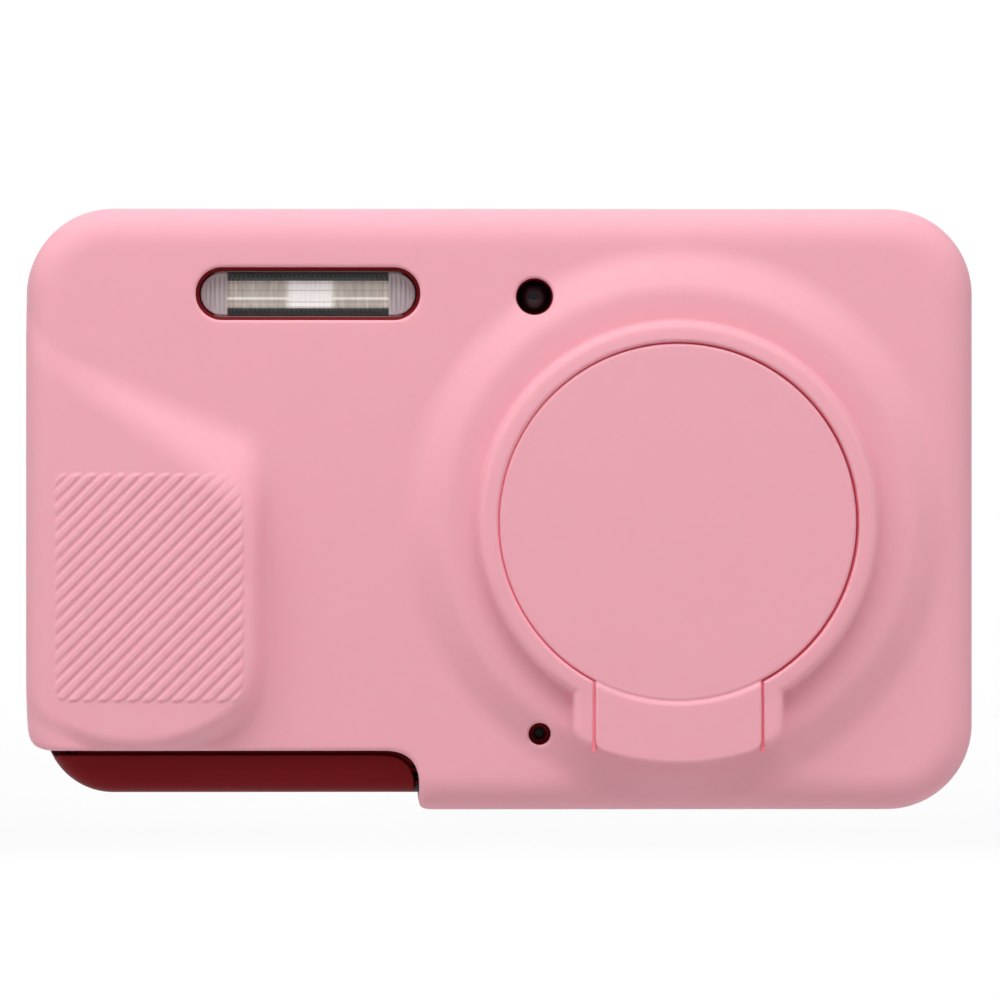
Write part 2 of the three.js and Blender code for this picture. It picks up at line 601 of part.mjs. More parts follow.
// ---------------------------------------------------------------------------------------------
// Flash, focus lamp, microphone and speaker
// ---------------------------------------------------------------------------------------------
const flash = group(FLASH.x, 0, FLASH.z);
part(
  flash, "flash_window", "clear",
  stadiumY(0, 0, FLASH.width, FLASH.height, -7.7, -6.3),
);
const trough = rod("x", 1.9, -8.6, 8.6, [0, -4.9, 0], 24);
part(
  flash, "flash_reflector", "chrome",
  cut(
    box(-9.4, 9.4, -6.2, -2.5, -2.3, 2.3),
    trough,
    box(-8.6, 8.6, -7, -4.9, -1.9, 1.9),
    rod("x", 1, -20, 20, [0, -4.2, 0], 16),
  ),
);
part(flash, "flash_tube", "clear", rod("x", 0.85, -10.4, 10.4, [0, -4.2, 0], 16));

const front = group();
part(front, "flash_capacitor", "black", join(
  rod("x", 3.9, 6.4, 30.4, [0, -1.6, 52.3], 24),
  rod("x", 0.4, 30.3, 32.4, [0, -2.8, 52.3], 6),
  rod("x", 0.4, 30.3, 32.4, [0, -0.4, 52.3], 6),
));
part(front, "af_lamp_window", "black", turn("y", [
  [0, -7.7], [LAMP.radius, -7.5], [LAMP.radius, INNER.front + 0.1], [2.2, INNER.front + 0.1],
  [2.2, -5.2], [0, -5.2],
], [LAMP.x, 0, LAMP.z]));
part(front, "microphone", "steel", rod("y", 2, INNER.front + 0.1, -4.8, [MIC.x, 0, MIC.z], 24));
part(front, "speaker", "black", join(
  rod("z", SPEAKER.radius, 54.8, INNER.top - 0.1, [SPEAKER.x, SPEAKER.y, 0], 32),
  rod("z", 3, 53.6, 54.9, [SPEAKER.x, SPEAKER.y, 0], 24),
));

// ---------------------------------------------------------------------------------------------
// Controls on top, about the shutter button's axis at the camera's top face
// ---------------------------------------------------------------------------------------------
const top = group(SHUTTER.x, SHUTTER.y, TOP_Z);
part(
  top, "zoom_lever", "keys",
  join(
    turn("z", [
      [4.45, -2.2], [6, -2.2], [6, -1.3], [5.2, -1.3], [5.2, 0.15], [6.5, 0.15], [6.5, 1], [6.1, 1.4],
      [4.45, 1.4], [4.45, -2.2],
    ], [0, 0, 0], 32),
    slabZ(roundRect(0, -6.2, 3.2, 2.2, 0.7), 0.15, 1.3, 0, 2),
  ),
);
part(
  top, "shutter_button", "band",
  turn("z", [
    [0, -5.1], [1.2, -5.1], [1.2, -2.1], [SHUTTER.radius, -2.1], [SHUTTER.radius, 0.9],
    [SHUTTER.radius - 0.3, 1.2], [2.6, 1.1], [0, 0.95],
  ], [0, 0, 0], 32),
);

// Return spring: a helix of wire, drawn as a tube swept along its curve.
class Helix extends THREE.Curve {
  constructor(radius, height, turns) {
    super();
    Object.assign(this, { radius, height, turns });
  }
  getPoint(t) {
    const angle = 2 * Math.PI * this.turns * t;
    const { radius, height } = this;
    return new THREE.Vector3(radius * Math.cos(angle), radius * Math.sin(angle), height * t);
  }
}
const wire = new THREE.Shape();
wire.absarc(0, 0, 0.22, 0, 2 * Math.PI);
const coil = new THREE.ExtrudeGeometry(wire, {
  extrudePath: new Helix(2.2, 3.1, 3.5),
  steps: 56,
  curveSegments: 3,
});
coil.translate(0, 0, -5.7);
part(top, "shutter_spring", "steel", solid(coil));

part(
  front, "power_button", "band",
  turn("z", [
    [0, TOP_Z - 5.4], [1, TOP_Z - 5.4], [1, TOP_Z - 2.2], [3.5, TOP_Z - 2.2], [3.5, TOP_Z - 1.4],
    [POWER.radius, TOP_Z - 1.4], [POWER.radius, TOP_Z + 0.6], [POWER.radius - 0.3, TOP_Z + 0.9],
    [0, TOP_Z + 0.8],
  ], [POWER.x, POWER.y, 0], 32),
);
part(front, "top_switch_board", "board", join(
  box(-40, -12.5, -1.4, 5.8, 51.6, 52.4),
  box(POWER.x - 1.4, POWER.x + 1.4, POWER.y - 1.4, POWER.y + 1.4, 52.3, 52.8),
));

// ---------------------------------------------------------------------------------------------
// Battery, card and their door
// ---------------------------------------------------------------------------------------------
const power = group();
part(
  power, "battery_box", "black",
  cut(
    box(-42.3, -9.7, -4.2, 3.1, 4.2, 45),
    box(-41.6, -10.4, -3.4, 2.5, 0, 44.2),
    box(-31, -21, -2, 1, 43, 50),
  ),
);
part(power, "battery", "cell", slabZ(roundRect(-26.2, -0.4, 30.4, 5.6, 2.6), 3.8, 43.9));
part(power, "battery_contacts", "brass", join(
  box(-30.6, -21.4, -1.6, 0.8, 44.6, 46.6),
  ...[-29.4, -26, -22.6].map((x) => box(x - 0.7, x + 0.7, -1.2, 0.4, 44.05, 44.7)),
));
part(
  power, "card_socket", "steel",
  cut(
    box(-39.2, -12.8, 3.25, 6.4, 4.2, 37.2),
    box(-38.2, -13.8, 3.35, 5.75, 0, 36),
  ),
);
part(power, "memory_card", "label", slabY(
  polygon([[-38, 3.9], [-14, 3.9], [-14, 33.4], [-16.4, 35.8], [-38, 35.8]]), 3.5, 5.6,
));

const doorPlate = slabZ(
  roundRect((DOOR.x0 + DOOR.x1) / 2, (DOOR.y0 + DOOR.axisY) / 2, DOOR.x1 - DOOR.x0, DOOR.axisY - DOOR.y0, 0.6),
  BASE_Z, INNER.base,
).intersect(bodyOutside);
part(
  power, "battery_door", "red",
  cut(
    join(
      doorPlate,
      rod("x", DOOR.knuckle, DOOR.x0 + 0.1, DOOR.x1 - 0.1, [0, DOOR.axisY, DOOR.axisZ]),
    ),
    rod("x", DOOR.pin + 0.07, -FAR, FAR, [0, DOOR.axisY, DOOR.axisZ], 16),
    slabZ(roundRect(LATCH.x, LATCH.y, 7.4, 2.6, 0.5), -1, 5, 0, 2),
  ),
);
part(
  power, "door_hinge_pin", "steel",
  rod("x", DOOR.pin, DOOR.x0 - 1.1, DOOR.x1 + 1.1, [0, DOOR.axisY, DOOR.axisZ], 16),
);
part(
  power, "door_latch", "keys",
  join(
    box(LATCH.x - 3.5, LATCH.x + 1.5, LATCH.y - 1.1, LATCH.y + 1.1, BASE_Z + 0.15, INNER.base + 0.1),
    box(LATCH.x - 5, LATCH.x + 4, LATCH.y - 1.8, LATCH.y + 1.8, INNER.base + 0.08, INNER.base + 0.6),
  ),
);

// ---------------------------------------------------------------------------------------------
// Connector at the side, and its soft cover
// ---------------------------------------------------------------------------------------------
part(
  power, "usb_socket", "steel",
  cut(
    slabX(roundRect(2.2, PORT.z, 2.8, 7.6, 0.7), 39.4, 44.4),
    slabX(roundRect(2.2, PORT.z, 2.2, 7, 0.5), 40.2, FAR),
  ),
);
part(
  power, "port_cover", "keys",
  slabX(
    roundRect((PORT.y0 + PORT.y1) / 2, PORT.z, PORT.y1 - PORT.y0, PORT.height, 1.4),
    SIDE_X - PORT.thick, SIDE_X,
  ),
);

// ---------------------------------------------------------------------------------------------
// Screen, board and keys at the back
// ---------------------------------------------------------------------------------------------
const rear = group();
part(rear, "lcd_window", "glass", slabY(
  roundRect(SCREEN.x, SCREEN.z, SCREEN.width, SCREEN.height, 1.5), 11, 11.75,
));
part(rear, "lcd_panel", "steel", box(-14.2, 41.2, 8.3, 10.9, 9.4, 52));
part(
  rear, "main_board", "board",
  cut(
    join(
      box(-7.5, 40.2, 5.4, 6.4, 12, 53.4),
      box(30.5, 39.5, 6.3, 7.1, 43.4, 52.4),
      box(-6.5, -1.5, 4.2, 5.5, 20, 32),
    ),
    rod("y", 17.6, 0, 9, [LENS.x, 0, LENS.z], ROUND),
  ),
);
part(rear, "key_mat", "keys", slabY(roundRect(-29.8, 28.2, 26, 46, 2), 8.3, 8.9));

const FLANGE = { front: 9.75, back: 10.4 }; // flange of each key, behind the rear wall
for (const [name, { x, z, radius }] of Object.entries(KEYS)) {
  const key = turn("y", [
    [0, FLANGE.front], [radius + 0.6, FLANGE.front], [radius + 0.6, FLANGE.back], [radius, FLANGE.back],
    [radius, 11.85], [radius - 0.2, 12.05], [0, 12.05],
  ], [x, 0, z], 24);
  part(rear, name, "keys", key);
}

const pad = group(PAD.x, 0, PAD.z);
part(pad, "nav_ring_carrier", "steel", ring("y", PAD.inner, 5.4, 9.3, 9.5, [0, 0, 0], 32));
part(
  pad, "nav_ring", "keys",
  turn("y", [
    [PAD.inner, 9.85], [5.6, 9.85], [5.6, 9.6], [PAD.outer + 0.5, 9.6], [PAD.outer + 0.5, 10.1],
    [PAD.outer, 10.1], [PAD.outer, 11.8], [PAD.outer - 0.3, 12.1], [PAD.inner + 0.2, 12.1],
    [PAD.inner, 11.9], [PAD.inner, 9.85],
  ], [0, 0, 0], 32),
);
part(
  pad, "ok_button", "keys",
  turn("y", [[0, 9.6], [3.95, 9.6], [3.95, 11.8], [3.75, 12], [0, 12]], [0, 0, 0], 32),
);

export default camera;
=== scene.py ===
"""Looks for a pocket digital camera in a moulded silicone sleeve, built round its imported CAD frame.

The frame's axes are used throughout: +Z up, the lens looks along -Y. Shapes are worked out in
millimetres and become metres where a mesh is made. Moulded pieces are distance fields, meshed by
surface nets; turned pieces are lathe profiles; flat pieces are bevelled slabs.
"""

import functools
import itertools
import json
from math import cos, pi, radians, sin, sqrt

import bmesh
import bpy
import numpy as np
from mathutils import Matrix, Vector


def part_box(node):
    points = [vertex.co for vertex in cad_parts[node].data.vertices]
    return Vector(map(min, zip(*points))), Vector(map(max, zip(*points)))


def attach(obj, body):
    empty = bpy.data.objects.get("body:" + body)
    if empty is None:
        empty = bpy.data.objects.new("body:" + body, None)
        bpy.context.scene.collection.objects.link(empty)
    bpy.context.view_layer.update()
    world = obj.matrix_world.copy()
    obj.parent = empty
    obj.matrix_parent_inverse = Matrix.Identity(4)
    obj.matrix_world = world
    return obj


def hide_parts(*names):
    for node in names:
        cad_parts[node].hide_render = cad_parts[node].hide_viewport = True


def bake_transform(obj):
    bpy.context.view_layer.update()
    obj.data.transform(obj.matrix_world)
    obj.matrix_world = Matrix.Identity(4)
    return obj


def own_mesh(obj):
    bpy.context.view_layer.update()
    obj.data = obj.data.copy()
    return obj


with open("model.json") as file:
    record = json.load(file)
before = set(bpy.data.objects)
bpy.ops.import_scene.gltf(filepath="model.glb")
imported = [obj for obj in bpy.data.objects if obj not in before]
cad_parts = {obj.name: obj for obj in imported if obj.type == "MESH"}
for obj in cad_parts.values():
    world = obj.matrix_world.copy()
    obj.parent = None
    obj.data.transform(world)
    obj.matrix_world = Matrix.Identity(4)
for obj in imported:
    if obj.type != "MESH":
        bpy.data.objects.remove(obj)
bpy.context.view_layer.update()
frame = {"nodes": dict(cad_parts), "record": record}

MM = 0.001
X, Y, Z = 0, 1, 2
XY, XZ, YZ = [X, Y], [X, Z], [Y, Z]  # what is seen from above, from the front and from a side


# ---- Places taken from the frame, in millimetres ----
def ends(node):
    """Lowest and highest corner of a CAD node."""
    low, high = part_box(node)
    return np.array(low) / MM, np.array(high) / MM


def middle(node):
    return sum(ends(node)) / 2


def half_size(node):
    low, high = ends(node)
    return (high - low) / 2


def span(node, axis):
    """Lowest and highest place of a CAD node along an axis."""
    return [end[axis] for end in ends(node)]


CAMERA = "camera_body"  # the body that holds still
SLOTS = {part["node"]: part["material_slot"] for part in frame["record"]["subparts"]}
SLEEVE_LOW, SLEEVE_HIGH = ends("silicone_sleeve")
HALF_X, HALF_Z = half_size("silicone_sleeve")[XZ]
BODY_X, BODY_Z = half_size("frame_band")[XZ]
MID_Z = middle("silicone_sleeve")[Z]
BODY_FRONT = span("front_shell", Y)[0]
BODY_BACK = span("rear_shell", Y)[1]
LENS, FLASH, LAMP, MIC = (
    middle(node) for node in ("lens_base_ring", "flash_window", "af_lamp_window", "microphone")
)
COLLAR_FACE = SLEEVE_LOW[Y]

# Driving dimensions that the boxes above don't hold, in millimetres.
FIT = 0.1  # sleeve to camera
WALL = 1.6  # silicone
SHELL = 1.2  # the camera's own casing
SLEEVE_CORNER, BODY_CORNER = 8.6, 6.9
SLEEVE_FACE = BODY_FRONT - FIT - WALL
BULGE_FOOT, BULGE_FACE = 27.0, -11.3  # the swelling round the collar
COLLAR_RADIUS, COLLAR_BORE, OPENING, SEAT = 19.98, 18.05, 17.3, -11.15
COLLAR_ROOT = -5.0  # as deep as the collar goes into the sleeve
EAR_HALF, EAR_TOP, SLOT_HALF, SLOT_TOP, REACH = 10.45, -8.0, 8.5, -12.0, 24.1  # round the tab
COVER_RADIUS, COVER_FACE, COVER_BACK, TAB_HALF = 17.85, -13.2, -11.25, 8.3
COVER_ASIDE = 0.08  # how far the closed disc sits to the left of the collar's middle
GAP_FLOOR, GAP_TILT, LIP_ROOM = -12.85, 0.015, 0.03  # the lip under the gap round the closed cover
CUTOUT_X, CUTOUT_Z, CUTOUT_CORNER = -8.15, 6.0, 3.5
CUTOUT_FLARE = 0.45  # its ends flare towards planes this far beyond the sleeve's sides
PAD_CENTRE, PAD_HALF, PAD_CORNER = (-35.2, 22.35), (9.5, 11.45), 1.2
RIB_PITCH, RIB_HALF, RIB_HEIGHT, RIB_EDGE = 1.05, 0.33, 0.18, 0.15
KEY_FLANGE = 0.6  # how far the flange of a small rear key stands out past its cap


# ---- Distance fields: negative inside, x, y and z in millimetres ----
def rounded_rect(u, v, centre, half, radius):
    du = np.abs(u - centre[0]) - (half[0] - radius)
    dv = np.abs(v - centre[1]) - (half[1] - radius)
    outside = np.hypot(np.maximum(du, 0), np.maximum(dv, 0))
    return outside + np.minimum(np.maximum(du, dv), 0) - radius


def circle(u, v, centre, radius):
    return np.hypot(u - centre[0], v - centre[1]) - radius


def meet(a, b, soft=0.0):
    """Where both fields are inside; the edge between them is eased over about the soft width."""
    if not soft:
        return np.maximum(a, b)
    share = np.maximum(soft - np.abs(a - b), 0) / soft
    return np.maximum(a, b) + share * share * soft / 4


def merge(a, b, soft=0.0):
    return -meet(-a, -b, soft)


def cut(a, b, soft=0.0):
    return meet(a, -b, soft)


def either(*fields):
    """Where any of the fields is inside."""
    return functools.reduce(np.minimum, fields)


def slab(y, outline, front, back, front_edge, back_edge):
    """What stands inside the outline between two upright planes, with eased edges."""
    return meet(meet(outline, front - y, front_edge), y - back, back_edge)


def surface_nets(field, lines):
    """Vertices and quads where the field is zero, on a grid whose planes stand at the given lines."""
    value = field(*np.ix_(*(line.astype(np.float32) for line in lines)))
    value = np.broadcast_to(value, [len(line) for line in lines])
    inside = value < 0
    shape = tuple(n - 1 for n in value.shape)
    corners = list(itertools.product((0, 1), repeat=3))
    filled = np.zeros(shape, np.int8)
    for i, j, k in corners:
        filled += inside[i : i + shape[0], j : j + shape[1], k : k + shape[2]]
    cells = np.argwhere((filled > 0) & (filled < len(corners)))
    number = np.full(shape, -1, np.int32)
    number[tuple(cells.T)] = np.arange(len(cells))

    total, crossings = np.zeros((len(cells), 3)), np.zeros(len(cells))
    for start in corners:
        for axis in (n for n in range(3) if not start[n]):
            end = [1 if n == axis else start[n] for n in range(3)]
            a, b = value[tuple((cells + start).T)], value[tuple((cells + end).T)]
            crossed = (a < 0) != (b < 0)
            share = np.where(crossed, a / np.where(crossed, a - b, 1), 0)
            point = np.stack([lines[n][cells[:, n] + start[n]] for n in range(3)], 1)
            gap = lines[axis][cells[:, axis] + 1] - lines[axis][cells[:, axis]]
            point[:, axis] += share * gap
            total += point * crossed[:, None]
            crossings += crossed
    vertices = total / crossings[:, None]

    step = np.eye(3, dtype=int)
    quads = []
    for axis in range(3):
        u, v = (axis + 1) % 3, (axis + 2) % 3
        near = inside[tuple(slice(0, -1) if n == axis else slice(1, -1) for n in range(3))]
        far = inside[tuple(slice(1, None) if n == axis else slice(1, -1) for n in range(3))]
        edges = np.argwhere(near != far)
        leaving = near[tuple(edges.T)]
        edges = edges + step[u] + step[v]
        around = [edges - i * step[u] - j * step[v] for i, j in ((0, 0), (1, 0), (1, 1), (0, 1))]
        quad = np.stack([number[tuple(cell.T)] for cell in around], 1)
        quad[~leaving] = quad[~leaving, ::-1]
        quads.append(quad)
    return vertices, np.concatenate(quads)


def slope(field, points, step=0.004):
    """The field's gradient at each point."""
    gradient = np.empty_like(points)
    for axis in range(3):
        move = np.zeros(3)
        move[axis] = step
        gradient[:, axis] = (field(*(points + move).T) - field(*(points - move).T)) / (2 * step)
    return gradient


def settle(field, points, rounds=3, reach=0.3):
    """Points moved on to the field's zero surface."""
    for _ in range(rounds):
        gradient = slope(field, points)
        steepness = (gradient**2).sum(1) + 1e-9
        move = -(field(*points.T) / steepness)[:, None] * gradient
        far = np.linalg.norm(move, axis=1, keepdims=True)
        points = points + move * np.minimum(1, reach / np.maximum(far, 1e-9))
    return points


def relaxed(points, quads):
    """Each point at the average of its neighbours."""
    a, b = quads.ravel(), np.roll(quads, -1, axis=1).ravel()
    count = np.bincount(a, minlength=len(points)) + np.bincount(b, minlength=len(points))
    total = [
        np.bincount(a, points[b, n], len(points)) + np.bincount(b, points[a, n], len(points))
        for n in range(3)
    ]
    return np.stack(total, 1) / count[:, None]


def grid_line(low, high, step, *finer):
    """Planes from low to high, a step apart, and closer inside each finer (from, to, step)."""
    step = step * 1
    stops = sorted({low, high, *(f[0] for f in finer), *(f[1] for f in finer)})
    planes = []
    for a, b in zip(stops, stops[1:]):
        here = min([step] + [f[2] for f in finer if f[0] <= a and b <= f[1]])
        planes.extend(np.linspace(a, b, max(1, round((b - a) / here)), endpoint=False))
    return np.array(planes + [high])


# ---- Meshes ----
def place(name, mesh, material, body, node=None):
    """Puts a mesh in the scene, on its body, in place of its CAD node."""
    piece = bpy.data.objects.new(name, mesh)
    bpy.context.scene.collection.objects.link(piece)
    mesh.materials.append(material)
    if body:
        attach(piece, body)
    if node:
        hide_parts(node)
    return piece


def quad_mesh(name, points, quads):
    """A smooth mesh of quads, from points in millimetres."""
    mesh = bpy.data.meshes.new(name)
    mesh.vertices.add(len(points))
    mesh.vertices.foreach_set("co", (points * MM).astype(np.float32).ravel())
    mesh.loops.add(quads.size)
    mesh.loops.foreach_set("vertex_index", quads.astype(np.int32).ravel())
    mesh.polygons.add(len(quads))
    mesh.polygons.foreach_set("loop_start", np.arange(0, quads.size, 4, dtype=np.int32))
    mesh.update(calc_edges=True)
    mesh.validate()
    mesh.shade_smooth()
    return mesh


def moulded(node, name, body, field, material, room, steps, finer=((), (), ())):
    """A distance field's mesh in a CAD node's place, shaded with the field's own normals.

    The grid has room round the node's box, a step along each axis and its finer stretches.
    """
    low, high = ends(node)
    lines = [grid_line(low[n] - room, high[n] + room, steps[n], *finer[n]) for n in range(3)]
    points, quads = surface_nets(field, lines)
    points = settle(field, points)
    for _ in range(2):
        points = settle(field, (points + relaxed(points, quads)) / 2, rounds=2)
    mesh = quad_mesh(name, points, quads)
    normals = slope(field, points)
    normals /= np.linalg.norm(normals, axis=1, keepdims=True) + 1e-9
    mesh.normals_split_custom_set_from_vertices(normals.astype(np.float32))
    return place(name, mesh, material, body, node)


# ---- Materials ----
class Nodes:
    """The node tree of a new material or world, with short calls for the nodes used here."""

    def __init__(self, name, kind=bpy.data.materials, shader="Principled BSDF"):
        self.owner = kind.new(name)
        self.owner.use_nodes = True
        self.tree = self.owner.node_tree
        self.shader = self.tree.nodes[shader]
        self.place = self.add("TexCoord").outputs["Object"]

    def add(self, kind, inputs=(), **settings):
        node = self.tree.nodes.new("ShaderNode" + kind)
        for key, value in settings.items():
            setattr(node, key, value)
        for key, value in dict(inputs).items():
            self.join(value, node.inputs[key])
        return node

    def join(self, value, socket):
        if isinstance(value, bpy.types.NodeSocket):
            self.tree.links.new(value, socket)
        else:
            socket.default_value = value

    def set(self, **inputs):
        """The shader's inputs, by name with _ for each space."""
        for key, value in inputs.items():
            self.join(value, self.shader.inputs[key.replace("_", " ")])

    def noise(self, size, detail=3.0, stretch=(1, 1, 1)):
        """Noise whose lumps are about the size in millimetres."""
        scaled = self.add("Mapping", {"Vector": self.place, "Scale": stretch})
        inputs = {"Vector": scaled.outputs[0], "Scale": 1 / (size * MM), "Detail": detail}
        return self.add("TexNoise", inputs).outputs["Fac"]

    def axes(self):
        """The place's x, y and z, in metres."""
        return self.add("SeparateXYZ", {0: self.place}).outputs

    def sum(self, operation, *values):
        return self.add("Math", dict(enumerate(values)), operation=operation).outputs[0]

    def seen(self):
        """1 where the camera looks straight at the surface, and 0 to every other ray."""
        return self.add("LightPath").outputs["Is Camera Ray"]

    def away(self, along, centre):
        """How far a place along an axis is from a centre in millimetres."""
        return self.sum("ABSOLUTE", self.sum("SUBTRACT", along, centre * MM))

    def between(self, factor, low, high):
        """A number that follows the factor from low to high."""
        inputs = {"Value": factor, "To Min": low, "To Max": high}
        return self.add("MapRange", inputs).outputs[0]

    def mix(self, factor, a, b):
        """A colour between a and b."""
        node = self.add("Mix", data_type="RGBA")
        self.join(factor, node.inputs[0])
        self.join(a, node.inputs[6])
        self.join(b, node.inputs[7])
        return node.outputs[2]

    def colour(self, factor, a, b, **inputs):
        self.set(Base_Color=self.mix(factor, a, b), **inputs)

    def bumped(self, height, depth):
        """The material with a bump of a height from 0 to 1, as deep as the depth in millimetres."""
        inputs = {"Height": height, "Distance": depth * MM, "Strength": 1.0}
        self.set(Normal=self.add("Bump", inputs).outputs[0])
        return self.owner


def rgb(red, green, blue):
    """A linear colour from 0 to 255 display values."""
    values = [c / 255 for c in (red, green, blue)]
    linear = [c / 12.92 if c <= 0.04045 else ((c + 0.055) / 1.055) ** 2.4 for c in values]
    return (*linear, 1.0)


def silicone():
    n = Nodes("silicone")
    patch = n.between(n.noise(9), 0.35, 0.65)
    n.colour(patch, rgb(236, 168, 181), rgb(240, 173, 185))
    n.set(Roughness=n.between(n.noise(2.5), 0.56, 0.68), Specular_IOR_Level=0.35)
    n.set(Subsurface_Weight=0.35, Subsurface_Radius=(1.0, 0.45, 0.4), Subsurface_Scale=1.2 * MM)
    n.set(Sheen_Weight=0.08, Sheen_Roughness=0.4)
    return n.bumped(n.noise(0.22, detail=2), 0.004)


def painted_glow_silicone():
    """The silicone deep in a narrow gap: a deeper red and an emission glow, both painted light
    standing in for light that comes through the walls.
    """
    n = Nodes("silicone_in_gap_painted_glow")
    n.colour(n.noise(3), rgb(232, 118, 136), rgb(238, 128, 146), Roughness=0.6)
    # painted glow: emission in place of light coming through the silicone into the shaded gap
    n.set(Emission_Color=rgb(190, 78, 92), Emission_Strength=0.35)
    return n.bumped(n.noise(0.22, detail=2), 0.004)


def lacquer():
    """Dark red paint: fine flakes under a thin clear coat."""
    n = Nodes("red_lacquer")
    flake = n.between(n.noise(0.09, detail=1), 0.2, 0.8)
    n.colour(flake, rgb(104, 18, 22), rgb(134, 28, 32))
    n.set(Roughness=n.between(n.noise(0.6), 0.34, 0.46), Coat_Weight=0.03, Coat_Roughness=0.2)
    n.set(Specular_IOR_Level=0.1, IOR=1.3)
    return n.bumped(n.noise(0.1, detail=1), 0.0015)


def satin_metal(name, colour, roughness, stretch=(1, 1, 1)):
    """Bead-blasted or brushed metal, by how its grain is stretched."""
    n = Nodes(name)
    grain = n.noise(0.12, detail=4, stretch=stretch)
    darker = tuple(c * 0.82 for c in colour[:3]) + (1.0,)
    n.colour(n.between(grain, 0.2, 0.8), darker, colour, Metallic=1.0)
    n.set(Roughness=n.between(grain, roughness - 0.06, roughness + 0.1))
    return n.bumped(grain, 0.002)


def plastic(name, colour, roughness=0.45, grain=0.15, depth=0.004, gloss=0.0):
    """Moulded plastic with a fine spark-eroded texture."""
    n = Nodes(name)
    texture = n.noise(grain, detail=3)
    lighter = tuple(min(1, c * 1.15 + 0.004) for c in colour[:3]) + (1.0,)
    n.colour(n.between(n.noise(4), 0.3, 0.7), colour, lighter)
    n.set(Roughness=n.between(texture, roughness - 0.07, roughness + 0.07), Coat_Weight=gloss)
    return n.bumped(texture, depth)


def lens_coating():
    n = Nodes("coated_glass")
    n.colour(n.noise(6), rgb(28, 26, 40), rgb(40, 34, 54), Roughness=0.03, IOR=1.7)
    n.set(Coat_Weight=1.0, Coat_Roughness=0.01, Coat_Tint=rgb(170, 190, 255), Transmission_Weight=0.3)
    return n.bumped(n.noise(8), 0.002)


def clear_plastic():
    n = Nodes("clear_plastic")
    n.colour(n.noise(2), rgb(232, 236, 238), rgb(246, 248, 248), Roughness=0.05)
    n.set(Transmission_Weight=0.9, IOR=1.49)
    return n.bumped(n.noise(1), 0.002)


def circuit_board():
    """Green lacquer over fine copper tracks."""
    n = Nodes("circuit_board")
    bricks = {"Vector": n.place, "Scale": 500.0, "Mortar Size": 0.03}
    tracks = n.add("TexBrick", bricks).outputs["Fac"]
    n.colour(tracks, rgb(16, 66, 44), rgb(40, 98, 62), Roughness=0.35)
    return n.bumped(tracks, 0.02)


def battery_wrap():
    """Grey film with a plain darker band round the cell's lower part."""
    n = Nodes("battery_wrap")
    band_top = 14
    band = n.sum("LESS_THAN", n.axes()[Z], band_top * MM)
    n.colour(band, rgb(88, 92, 98), rgb(46, 50, 58))
    n.set(Roughness=n.between(n.noise(1.5), 0.3, 0.45))
    return n.bumped(n.noise(3), 0.01)


def flash_optics():
    """What shows through the ribbed window: grey ends, dark edges and a bright reflector, its light
    tones painted reflection, with painted highlights and painted shade lines.
    """
    n = Nodes("flash_optics")
    x, _, z = n.axes()

    def line(along, centre, width, blur):
        """1 within the width about the centre, in millimetres, fading to 0 over the blur."""
        away, inner, outer = n.away(along, centre), width / 2 - blur, width / 2 + blur
        inputs = {"Value": away, "From Min": outer * MM, "From Max": inner * MM}
        return n.add("MapRange", inputs, interpolation_type="SMOOTHSTEP").outputs[0]

    mottled = n.noise(0.5, stretch=(1, 1, 0.15))
    # painted reflection: the light tones stand in for the studio mirrored in the reflector behind the
    # window
    painted_reflection = n.mix(mottled, rgb(150, 142, 132), rgb(226, 220, 206))
    # painted highlight: a bright patch at the middle of the tube
    painted_reflection = n.mix(line(x, FLASH[X] + 0.25, 4.6, 0.5), painted_reflection, rgb(255, 255, 252))
    # painted highlight: a bright line along the tube
    painted_reflection = n.mix(line(z, FLASH[Z] - 0.45, 0.2, 0.12), painted_reflection, rgb(255, 255, 250))
    # painted shade: darker lines along the reflector's creases
    for height in (1.1, 0.35, -0.8, -1.3):
        groove = n.sum("MULTIPLY", line(z, FLASH[Z] + height, 0.1, 0.06), 0.45)
        painted_reflection = n.mix(groove, painted_reflection, rgb(120, 112, 104))
    edge = n.mix(n.noise(0.9), rgb(8, 10, 10), rgb(44, 46, 46))
    centre = n.mix(line(z, FLASH[Z] - 0.05, 2.7, 0.08), edge, painted_reflection)
    wing = n.mix(n.noise(0.35, stretch=(1, 1, 0.1)), rgb(150, 142, 146), rgb(204, 198, 200))
    centre_width = 2 * (half_size("flash_window")[X] - 2.7)
    n.colour(line(x, FLASH[X], centre_width, 0.1), wing, centre)
    n.set(Roughness=n.between(mottled, 0.12, 0.22), Coat_Weight=1.0, Coat_Roughness=0.04, IOR=1.49)
    return n.bumped(n.noise(0.3), 0.002)


def screen_glass():
    """Gloss black glass with the slightly lighter picture area behind it."""
    n = Nodes("screen_glass")
    margin = 2.2  # from the panel's edge to its picture
    along, centre, half = n.axes(), middle("lcd_panel"), half_size("lcd_panel") - margin
    near = [n.sum("LESS_THAN", n.away(along[a], centre[a]), half[a] * MM) for a in XZ]
    picture = n.mix(n.noise(14), rgb(30, 33, 40), rgb(38, 42, 50))
    n.colour(n.sum("MULTIPLY", *near), rgb(9, 9, 10), picture)
    n.set(Roughness=n.between(n.noise(5), 0.05, 0.09), Coat_Weight=1.0, Coat_Roughness=0.02)
    return n.bumped(n.noise(20), 0.01)


